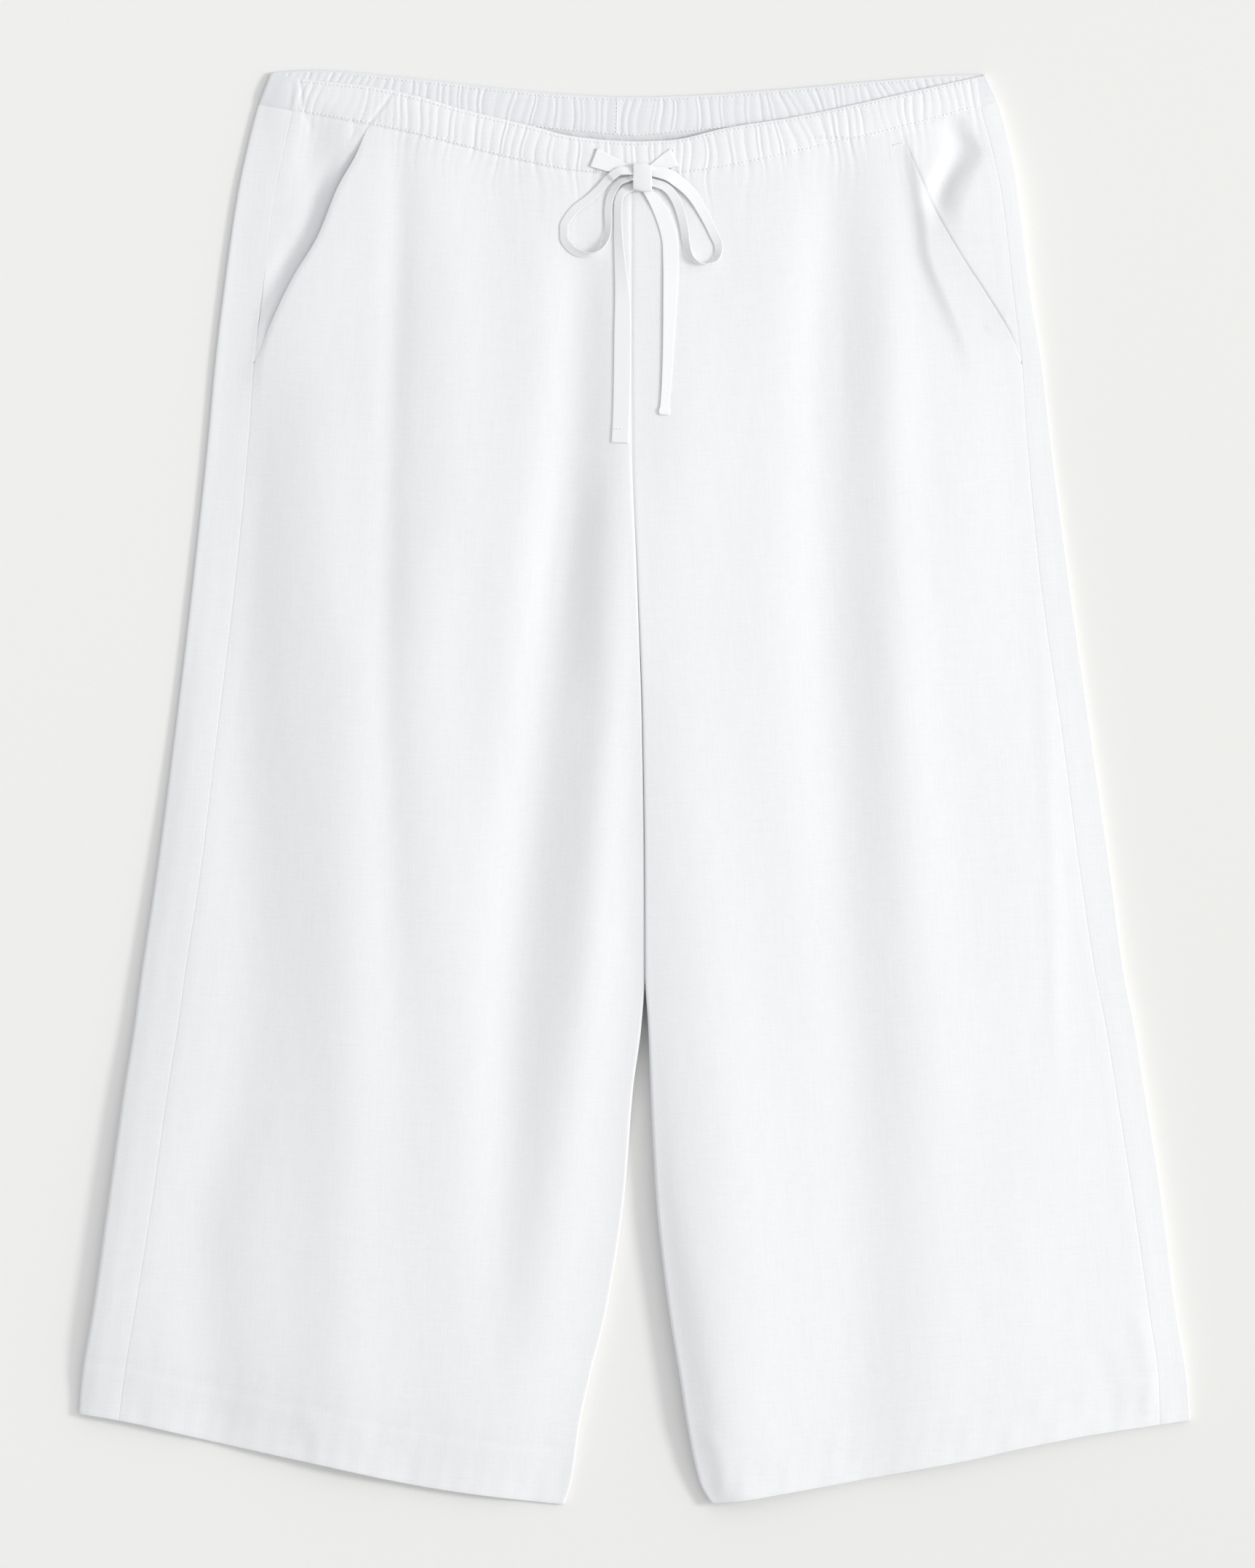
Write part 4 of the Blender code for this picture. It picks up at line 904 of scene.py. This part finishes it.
def side_panel(side, material):
    """The piece behind a pocket mouth, from the side seam to a little under the front panel."""
    columns = even_shares("side panel columns")

    def place(y):
        reach = (y - MOUTH_FOOT) / (MOUTH_TOP - MOUTH_FOOT)
        start = side_seam_x(side, y) - side * SEAM_ROLL
        end = MOUTH_AT[side](y) - side * mix(*UNDERLAP, reach)
        return mix(start, end, columns)

    x, y = columns_grid(even_shares("side panel rows"), [place], FRONT_FOOT_AT,
                        lambda x: MOUTH_FOOT, side * START_X["side panel"])
    seam = side_seam_x(side, y)
    wide = np.abs(MOUTH_AT[side](y) - seam)
    under = np.abs(x - seam) / np.maximum(LEAST_WIDTH, wide)
    rise = ease((y - MOUTH_FOOT) / LIFT_FADE)
    step = MOUTH_STEP[side] * np.clip(wide / STEP_WIDTH, 0.0, 1.0) * np.clip(under, 0.0, UNDER_LIMIT)
    depth, centre, reach = MOUTH_DIP[side]
    dip = depth * bell((side * (x - MOUTH_AT[side](y)) - centre) / reach)
    sunk = step + (MOUTH_GAPE[side] * ease(under) + dip) * rise
    sunk = PANEL_GAP + sunk * sewn_fade(x, y)
    grid = layer(x, y, panel_height(side, x, y) - sunk)
    grid = turned_side(grid, side, SEAM_ROLL, PANEL_FACING)
    return leg_piece("side_panel", side, grid, material)


# Casing

def casing_edge(top_at):
    """Where the casing's rolled upper edge begins, for a place x."""
    return lambda x: top_at(x) - CASING_WALL / 2


def casing_height(x, y):
    """The outer face of the casing on top: a soft crown between its two rows of stitches."""
    share = (y - FRONT_FOOT_AT(x)) / (casing_edge(FRONT_TOP_AT)(x) - FRONT_FOOT_AT(x))
    share = np.clip(share, 0.0, 1.0)
    crown = CASING_CROWN * (4 * share * (1 - share)) ** CROWN_SHAPE["front"]
    calm, start, length = CALM_TOP
    folds = front_gathers(x, y) * (1 - calm * ease((share - start) / length))
    fine = folds - stitch_grooves(x, y) + slack(x, y) + crease_relief(x, y)
    return height_on(x, y) + crown + fine


def casing_front(material):
    """Front half of the casing: gathered outside, turned over the elastic at its upper edge."""
    seams = OUTLINE_AT["side_left"], OUTLINE_AT["side_right"]
    place = across_at(*seams, even_shares("front casing columns"))
    x, y = columns_grid(even_shares("front casing rows"), [place], FRONT_FOOT_AT,
                        casing_edge(FRONT_TOP_AT), 0.0)
    grid = layer(x, y, casing_height(x, y))
    grid = turned_edge(grid, 1, CASING_WALL / 2, CASING_TURN["front"], EDGE_STEPS)
    return cloth_mesh("casing_front_cloth", grid, 1, material)


def back_lift(x, y):
    """Relief of the back casing's inner face."""
    across = (y - back_foot(x)) / (casing_edge(BACK_TOP_AT)(x) - back_foot(x))
    across = np.clip(across, 0.0, 1.0)
    crown = CASING_CROWN * (4 * across * (1 - across)) ** CROWN_SHAPE["back"]
    rows = bell((y - BACK_TOP_AT(x) + TOP_ROW) / GROOVE_HALF["top"])
    rows = rows + bell((y - back_foot(x) - FOOT_ROW) / GROOVE_HALF["back foot"])
    crowd = 1 + CROWDING * cloudy(CROWD_WAVES, x + BACK_WAVES[1], y)
    return crown + back_gathers(x, y) * ease(across / BACK_START) - STITCH_GROOVE * crowd * rows


def casing_end(side, quarter, strip, shares):
    """The part of the back casing that lies on top, from the outer fold to the side seam."""
    seam = OUTLINE_AT["side_" + SIDE_NAME[side]]
    places = (outer_at(side, quarter[1:]), across_at(outer_at(side, 1), seam, strip))
    x, y = columns_grid(shares, places, FRONT_FOOT_AT, casing_edge(FRONT_TOP_AT),
                        side * START_X["casing end"])
    outer, _ = edge_drops(side, x, y)
    part = layer(x, y, mix(top_height(side, x, y), casing_height(x, y), 1 - outer))
    return part if side > 0 else part[:, ::-1]


def casing_back(material):
    """Back half of the casing: under the front, round both side folds and up to the seams."""
    quarter = round_shares("casing")
    flat = even_shares("back casing columns")[1:-1]
    strip = even_shares("casing strip")[1:]
    shares = even_shares("back casing rows")
    places = (outer_at(-1, quarter), across_at(outer_at(-1, 1), outer_at(1, 1), flat),
              outer_at(1, quarter[::-1]))
    x, y = columns_grid(shares, places, back_foot, casing_edge(BACK_TOP_AT), 0.0)
    z = np.where(x < 0, under_height(-1, x, y), under_height(1, x, y))
    left, right = (casing_end(side, quarter, strip, shares) for side in (-1, 1))
    grid = np.concatenate([left, layer(x, y, z), right], axis=1)
    grid = turned_edge(grid, -1, CASING_WALL / 2, CASING_TURN["back"], EDGE_STEPS)
    inside = grid[len(shares) + EDGE_STEPS:]
    ends = len(strip) + 2 * len(quarter) - 1
    middle = slice(ends, -ends)
    inside[:, middle, 2] += back_lift(inside[:, middle, 0], inside[:, middle, 1])
    ahead = unit(grid[-1] - grid[-2])
    steps = np.linspace(0.0, BACK_LINING, LINING_ROWS)[1:, None, None]
    kept = np.full((grid.shape[1], 1), LINING_ENDS)
    kept[middle] = 1.0
    lining = grid[-1] + ahead * kept * steps
    lining[..., 2] = np.maximum(lining[..., 2], CLOTH_LIFT)
    return cloth_mesh("casing_back_cloth", np.concatenate([grid, lining]), -1, material)


# Bow

def cloth_below(x, y):
    """The height of what carries the tape."""
    near = y > FRONT_FOOT_AT(x) - SEAM_GAP
    casing = CASING_CROWN + GATHER_PUFF
    return height_on(x, y) + np.where(near, casing, 0.0)


def tape_line(name):
    """Stations along a tape: place, turn, direction across and half width."""
    rows = np.array(ROUTES[name], float)
    lengths = np.concatenate([[0.0], np.cumsum(np.hypot(*np.diff(rows[:, :2], axis=0).T))])
    table = np.column_stack([lengths, rows])
    x_at, y_at, lift_at, turn_at, share_at = (reader(table, 0, i) for i in range(1, 6))
    total = lengths[-1]
    end = total if "tail" in name else total + TAPE_ROOT
    run = np.linspace(-TAPE_ROOT, end, max(4, round(total / TAPE_STEP)) + 1)
    x, y = x_at(run), y_at(run)
    ahead = unit(np.stack([np.gradient(x), np.gradient(y)], axis=1))
    across = np.stack([ahead[:, 1], -ahead[:, 0]], axis=1)
    half = TAPE_WIDTH / 2 * share_at(run)
    turn = np.radians(turn_at(run))
    rest = []
    for share in np.linspace(-1.0, 1.0, TAPE_SPOTS):
        reach = half * np.cos(turn) * share
        ground = cloth_below(x + across[:, 0] * reach, y + across[:, 1] * reach)
        rest.append(ground - half * np.sin(turn) * share)
    thick = TAPE_THICKNESS / 2 * np.abs(np.cos(turn))
    z = np.max(rest, axis=0) + TAPE_LIFT + thick + lift_at(run)
    return run, np.stack([x, y, z], axis=1), turn, across, half


def tape_section():
    """A flat tube of folded cloth, a little thicker along its two edges: across and thick."""
    angles = circle(TAPE_SIDES)
    wide = boxy(np.cos(angles), TAPE_SHAPE[0])
    thick = boxy(np.sin(angles), TAPE_SHAPE[1])
    return wide, thick * (1 - TAPE_HOLLOW + TAPE_HOLLOW * np.abs(wide) ** 3)


def tape_piece(name, material):
    """A flat tape swept along its route, turned about its own line where it stands on edge."""
    run, place, turn, across, half = tape_line(name)
    wide, thick = tape_section()
    flat_across = np.column_stack([across, np.zeros(len(across))])
    up = np.array([0.0, 0.0, 1.0])
    cos, sin = np.cos(turn)[:, None], np.sin(turn)[:, None]
    wide_way = flat_across * cos + up * sin
    thick_way = up * cos - flat_across * sin
    share, length = TAPE_PUCKER
    pucker = 1 + share * np.sin(run * 2 * math.pi / length)
    knotted, from_end, size = END_KNOT
    if name == knotted:
        swell = bell((run[-1] - run - from_end) / size)
        half = half * (1 + KNOT_SWELL[0] * swell)
        pucker = pucker * (1 + KNOT_SWELL[1] * swell)
    points = (place[:, None] + wide_way[:, None] * (half[:, None] * wide)[..., None]
              + thick_way[:, None] * (pucker[:, None] * thick * TAPE_THICKNESS / 2)[..., None])
    rows, columns = points.shape[:2]
    quads = np.roll(grid_quads(rows, columns, close=True)[:, ::-1], 1, axis=1)
    index = np.arange(rows * columns).reshape(rows, columns)
    faces = quads.tolist() + [index[0].tolist(), index[-1, ::-1].tolist()]
    along = np.broadcast_to(run[:, None], (rows, columns))
    threads = layer(half[:, None] * wide, along, np.zeros((rows, columns))).reshape(-1, 3) * MM
    piece = mesh_piece(name + "_cloth", points.reshape(-1, 3) * MM, faces, material, threads)
    return piece, place, across, half, turn


def end_ring(ring):
    """A smaller ring that closes an end of the knot."""
    middle = ring.mean(axis=1, keepdims=True)
    return (ring - middle) * KNOT_END + middle


def knot_piece(material):
    """The tape's tight knot: a folded band round the middle of the bow."""
    x, y = KNOT_CENTRE
    wide, tall, deep = KNOT_SIZE
    spots = x + np.array(KNOT_SPOTS) * wide
    floor = float(cloth_below(spots, np.full_like(spots, y + tall * KNOT_BACK)).max()) + SEAM_GAP
    count, sides = KNOT_RINGS
    around = circle(sides)
    rows = []
    for share in np.linspace(0.0, 1.0, count):
        swell = 1 - KNOT_WAIST + KNOT_WAIST * math.sin(math.pi * share)
        off = mix(-0.5, 0.5, share)
        ring_x = x + off * wide * KNOT_SPAN
        ring_y = y + boxy(np.cos(around), KNOT_SHAPE[0]) * tall / 2 * swell + KNOT_LEAN * off
        bulge = boxy(np.sin(around), KNOT_SHAPE[1]) * deep / 2 * swell
        ring_z = floor + deep / 2 + bulge + KNOT_TILT * (ring_x - x)
        rows.append(layer(np.full(sides, ring_x), ring_y, ring_z))
    grid = np.array(rows)
    grid = np.concatenate([end_ring(grid[:1]), grid, end_ring(grid[-1:])])
    return cloth_mesh("tie_knot_cloth", grid, 1, material, 0.0, close=True)


# Stitches

def stitch_tube(start, end, radius):
    """Rings of one stitch, which dips into the cloth at both of its ends."""
    along = end - start
    length = np.linalg.norm(along)
    along = along / length
    side_way = np.cross(along, (0.0, 0.0, 1.0))
    side_way /= np.linalg.norm(side_way)
    up = np.cross(side_way, along)
    angles = circle(THREAD_SIDES)
    rings = []
    for i, swell in enumerate(THREAD_RINGS):
        share = i / (len(THREAD_RINGS) - 1)
        arch = THREAD_ARCH[0] * math.sin(math.pi * share) - THREAD_ARCH[1]
        middle = mix(start, end, share) + up * radius * arch
        ring = np.cos(angles)[:, None] * side_way + np.sin(angles)[:, None] * up
        rings.append(middle + ring * radius * swell)
    return np.array(rings)


def stitches(name, pairs, material, radius=THREAD_RADIUS):
    """One piece of thread for a whole row: pairs are the two ends of each stitch."""
    points, faces = [], []
    for start, end in pairs:
        rings = stitch_tube(np.array(start), np.array(end), radius)
        count, sides = rings.shape[:2]
        base = len(points)
        points.extend(rings.reshape(-1, 3))
        for i in range(count - 1):
            for j in range(sides):
                a, b = base + i * sides + j, base + i * sides + (j + 1) % sides
                faces.append((a, b, b + sides, a + sides))
    places = np.array(points) * MM
    return finish_piece(mesh_piece(name, places, faces, material, places), "linen")


def row_pairs(x_from, x_to, line, height, seed):
    """Stitches along a line y = line(x) on a surface."""
    count = round(abs(x_to - x_from) / STITCH_PITCH)
    jitter = uneven(seed, count, -STITCH_JITTER, STITCH_JITTER)
    pairs = []
    for i in range(count):
        centre = mix(x_from, x_to, (i + 0.5) / count) + jitter[i]
        ends = np.array([centre - STITCH_LENGTH / 2, centre + STITCH_LENGTH / 2])
        y = line(ends) + STITCH_WAVER * jitter[i]
        pairs.append(np.column_stack([ends, y, height(ends, y) + THREAD_RISE]))
    return pairs


def back_inside(x, y):
    return CLOTH_LIFT + CASING_WALL + back_lift(x, y)


def casing_stitches(material):
    """The rows that hold the casing: under its upper edge, along its foot and inside the back."""
    y, inset = ROW_INSET
    left, right = side_seam_x(-1, y) + inset, side_seam_x(1, y) - inset
    top, foot = BACK_ROWS
    rows = (("front_top", left, right, lambda x: FRONT_TOP_AT(x) - TOP_ROW, casing_height),
            ("front_foot", left, right, lambda x: FRONT_FOOT_AT(x) + FOOT_ROW, casing_height),
            ("back_top", -top, top, lambda x: BACK_TOP_AT(x) - TOP_ROW, back_inside),
            ("back_foot", -foot, foot, lambda x: back_foot(x) + FOOT_ROW, back_inside))
    for seed, (name, *row) in enumerate(rows, STITCH_SEED):
        stitches(f"{name}_stitches", row_pairs(*row, seed), material)
    centre_x, centre_y, length, lean = CENTRE_BACK
    seam = []
    for low in np.arange(centre_y - length / 2, centre_y + length / 2, STITCH_PITCH):
        y = np.array([low, low + STITCH_LENGTH])
        x = centre_x + lean * (y - centre_y)
        seam.append(layer(x, y, back_inside(x, y) + THREAD_RISE))
    stitches("centre_back_stitches", seam, material)


def satin_pairs(centre, lean, size, slit=None):
    """Close stitches across a narrow bar, or round both edges of a slit."""
    long, wide = size
    cosine, sine = math.cos(math.radians(lean)), math.sin(math.radians(lean))
    spans = ((-slit, -wide / 2), (slit, wide / 2)) if slit else ((-wide / 2, wide / 2),)
    pairs = []
    for across in np.array(spans):
        for step in np.arange(-long / 2, long / 2 + 0.01, SATIN_STEP):
            x = centre[0] + step * cosine - across * sine
            y = centre[1] + step * sine + across * cosine
            pairs.append(layer(x, y, casing_height(x, y) + SATIN_RISE))
    return pairs


def sewn_details(material):
    """Buttonholes where the tape comes out, and the bar tack at the right pocket."""
    for side, (x, y, lean) in zip((-1, 1), BUTTONHOLES):
        pairs = satin_pairs((x, y), lean, BUTTONHOLE_SIZE, SLIT)
        stitches(f"buttonhole_{SIDE_NAME[side]}", pairs, material, FINE_THREAD)
    x, y, lean, length = BAR_TACK
    stitches("bar_tack", satin_pairs((x, y), lean, (length, BAR_WIDTH)), material)


def tail_stitches(place, across, half, turn, material):
    """The hem at the left tail's end."""
    count, wide, half_long = TAIL_STITCHES
    row = int(np.argmin(np.abs(place[:, 1] - place[-1, 1] - TAIL_HEM)))
    pairs = []
    for share in np.linspace(-wide, wide, count):
        spots = []
        for offset in (-half_long, half_long):
            reach = (share * half[row] + offset) * np.cos(turn[row])
            x, y = place[row, :2] + across[row] * reach
            spots.append((x, y, place[row, 2] + TAPE_THICKNESS * TAIL_RISE))
        pairs.append(spots)
    stitches("tail_end_stitches", pairs, material, FINE_THREAD)


# Materials

def node(tree, kind, **settings):
    made = tree.nodes.new(kind)
    for name, value in settings.items():
        setattr(made, name, value)
    return made


def set_inputs(made, values):
    for name, value in values.items():
        made.inputs[name].default_value = value


def math_node(tree, operation, *values):
    """One operation on plain numbers or other nodes' outputs."""
    made = node(tree, "ShaderNodeMath", operation=operation)
    for slot, value in zip(made.inputs, values):
        if isinstance(value, (int, float)):
            slot.default_value = value
        else:
            tree.links.new(value, slot)
    return made.outputs[0]


def stretched_noise(tree, vector, stretch, scale, detail):
    """Noise drawn out along the threads in one direction."""
    mapping = node(tree, "ShaderNodeMapping")
    mapping.inputs["Scale"].default_value = stretch
    noise = node(tree, "ShaderNodeTexNoise")
    set_inputs(noise, {"Scale": scale, "Detail": detail})
    tree.links.new(vector, mapping.inputs["Vector"])
    tree.links.new(mapping.outputs["Vector"], noise.inputs["Vector"])
    return noise.outputs["Fac"]


def weave_group():
    """Plain weave with uneven threads: a tint for the colour and a height for the bump."""
    group = bpy.data.node_groups.new("Plain linen weave", "ShaderNodeTree")
    number = "NodeSocketFloat"
    group.interface.new_socket(name="Threads", in_out="INPUT", socket_type="NodeSocketVector")
    for name, value in WEAVE_INPUTS.items():
        socket = group.interface.new_socket(name=name, in_out="INPUT", socket_type=number)
        socket.default_value = value
    for name in ("Tint", "Height"):
        group.interface.new_socket(name=name, in_out="OUTPUT", socket_type=number)

    def times(a, b):
        return math_node(group, "MULTIPLY", a, b)

    def plus(a, b):
        return math_node(group, "ADD", a, b)

    inside = node(group, "NodeGroupInput")
    outside = node(group, "NodeGroupOutput")
    vector = inside.outputs["Threads"]
    parts = node(group, "ShaderNodeSeparateXYZ")
    group.links.new(vector, parts.inputs[0])
    turns = math_node(group, "DIVIDE", 2 * math.pi, inside.outputs["Thread Pitch"])
    warp, weft = (math_node(group, "SINE", times(parts.outputs[axis], turns)) for axis in "XY")
    warp_slub, weft_slub, cloud = (stretched_noise(group, vector, *row) for row in SLUBS)
    slubs = plus(times(warp_slub, 0.5), times(weft_slub, 0.5))
    mottle = plus(times(slubs, THREAD_SHARE), times(cloud, 1 - THREAD_SHARE))
    centred = math_node(group, "SUBTRACT", mottle, 0.5)
    tint = plus(times(centred, inside.outputs["Slub Tint"]), 1.0)
    weave = times(times(warp, weft), WEAVE_DEPTH)
    height = plus(weave, times(centred, inside.outputs["Slub Height"]))
    group.links.new(tint, outside.inputs["Tint"])
    group.links.new(height, outside.inputs["Height"])
    return group


def new_material(name, settings):
    """A material, its node tree and its shader, with some of the shader's inputs set."""
    material = bpy.data.materials.new(name)
    material.use_nodes = True
    shader = material.node_tree.nodes["Principled BSDF"]
    set_inputs(shader, settings)
    return material, material.node_tree, shader


def shaded(tree, colour, share, shader):
    """The shader's colour is a plain colour, made darker or lighter by a share."""
    shade = node(tree, "ShaderNodeMix", data_type="RGBA", blend_type="MULTIPLY")
    shade.inputs[0].default_value = 1.0
    shade.inputs[6].default_value = (*colour, 1.0)
    tree.links.new(share, shade.inputs[7])
    tree.links.new(shade.outputs[2], shader.inputs["Base Color"])


def cloth_material(name, weave, colour, pitch, tint, slub, bump, roughness):
    material, tree, shader = new_material(name, {"Roughness": roughness, **CLOTH_SHEEN})
    threads = node(tree, "ShaderNodeAttribute", attribute_name="threads")
    cloth = node(tree, "ShaderNodeGroup", node_tree=weave)
    set_inputs(cloth, {"Thread Pitch": pitch, "Slub Tint": tint, "Slub Height": slub})
    tree.links.new(threads.outputs["Vector"], cloth.inputs["Threads"])
    shaded(tree, colour, cloth.outputs["Tint"], shader)
    relief = node(tree, "ShaderNodeBump")
    set_inputs(relief, {"Strength": 1.0, "Distance": bump})
    tree.links.new(cloth.outputs["Height"], relief.inputs["Height"])
    tree.links.new(relief.outputs["Normal"], shader.inputs["Normal"])
    return material


# Camera, lamps and floor

def add_camera():
    camera = bpy.data.cameras.new("camera")
    camera.lens = LENS
    camera.sensor_width = SENSOR
    camera.dof.use_dof = False
    camera.clip_start, camera.clip_end = CLIP
    view = add_object("camera", camera)
    above = VIEW_HEIGHT * LENS / SENSOR + CLOTH_LEVEL
    view.location = (VIEW_CENTRE[0] * MM, VIEW_CENTRE[1] * MM, above * MM)
    bpy.context.scene.camera = view


def add_light():
    for name, (place, diameter, power) in LAMPS.items():
        panel = bpy.data.lights.new(name, "AREA")
        panel.shape = "DISK"
        panel.size = diameter
        panel.energy = power
        panel.color = KEY_COLOUR
        lamp = add_object(name, panel)
        lamp.location = place
        lamp.rotation_euler = (-Vector(place)).to_track_quat("-Z", "Y").to_euler()
    scene = bpy.context.scene
    scene.world = bpy.data.worlds.new("studio")
    scene.world.use_nodes = True
    set_inputs(scene.world.node_tree.nodes["Background"],
               {"Color": (*FILL_COLOUR, 1.0), "Strength": FILL_STRENGTH})
    scene.view_settings.view_transform = "Standard"
    scene.view_settings.look = "None"


def add_floor():
    half = FLOOR_SIZE / 2
    corners = ((-half, -half), (half, -half), (half, half), (-half, half))
    mesh = bpy.data.meshes.new("floor")
    mesh.from_pydata([(x, y, FLOOR_LEVEL) for x, y in corners], [], [(0, 1, 2, 3)])
    material, tree, shader = new_material("pale floor", {"Roughness": 1.0, "Specular IOR Level": 0.0})
    place = node(tree, "ShaderNodeNewGeometry")
    parts = node(tree, "ShaderNodeSeparateXYZ")
    tree.links.new(place.outputs["Position"], parts.inputs[0])
    # Painted shade: the floor's colour darkens towards the right, where the lamps light it more
    # strongly
    fall = math_node(tree, "MULTIPLY", parts.outputs["X"], FLOOR_PAINTED_SHADE)
    shaded(tree, FLOOR_COLOUR, math_node(tree, "SUBTRACT", 1.0, fall), shader)
    mesh.materials.append(material)
    add_object("floor", mesh)


# Each piece's place in the frame

def finish_piece(piece, slot, *nodes):
    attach(piece, "root")
    if nodes:
        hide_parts(*nodes)
    return piece


def tie(material, thread):
    """The bow: two loops, two free ends, two short stubs to the buttonholes and the knot."""
    knot = finish_piece(knot_piece(material), "tape", "tie_knot")
    made = {}
    for name in ROUTES:
        made[name] = tape_piece(name, material)
        finish_piece(made[name][0], "tape", name)
    for name, (piece, place, _, half, _) in made.items():
        if "stub" in name:
            continue
    tail_stitches(*made["tie_tail_left"][1:], thread)


def panel_piece(piece, name):
    """Hangs a piece under the root empty and hides the part of model.glb that it stands for."""
    finish_piece(piece, "linen", name)


def garment(material, inside):
    for side in (-1, 1):
        word = SIDE_NAME[side]
        back = f"back_{word}"
        panel_piece(back_panel(side, material), back)
        panel_piece(side_panel(side, material), f"side_panel_{word}")
        panel_piece(front_panel(side, material), f"front_{word}")
    # inside is the darker linen with painted shade, for the back casing
    panel_piece(casing_back(inside), "casing_back")
    panel_piece(casing_front(material), "casing_front")


# The scene, in the order in which it is made
add_camera()
weave = weave_group()
linen, painted_shade_linen, tape_linen, thread = (cloth_material(name, weave, *values)
                                          for name, values in CLOTHS.items())
tie(tape_linen, thread)
garment(linen, painted_shade_linen)
casing_stitches(thread)
sewn_details(thread)
add_light()
add_floor()
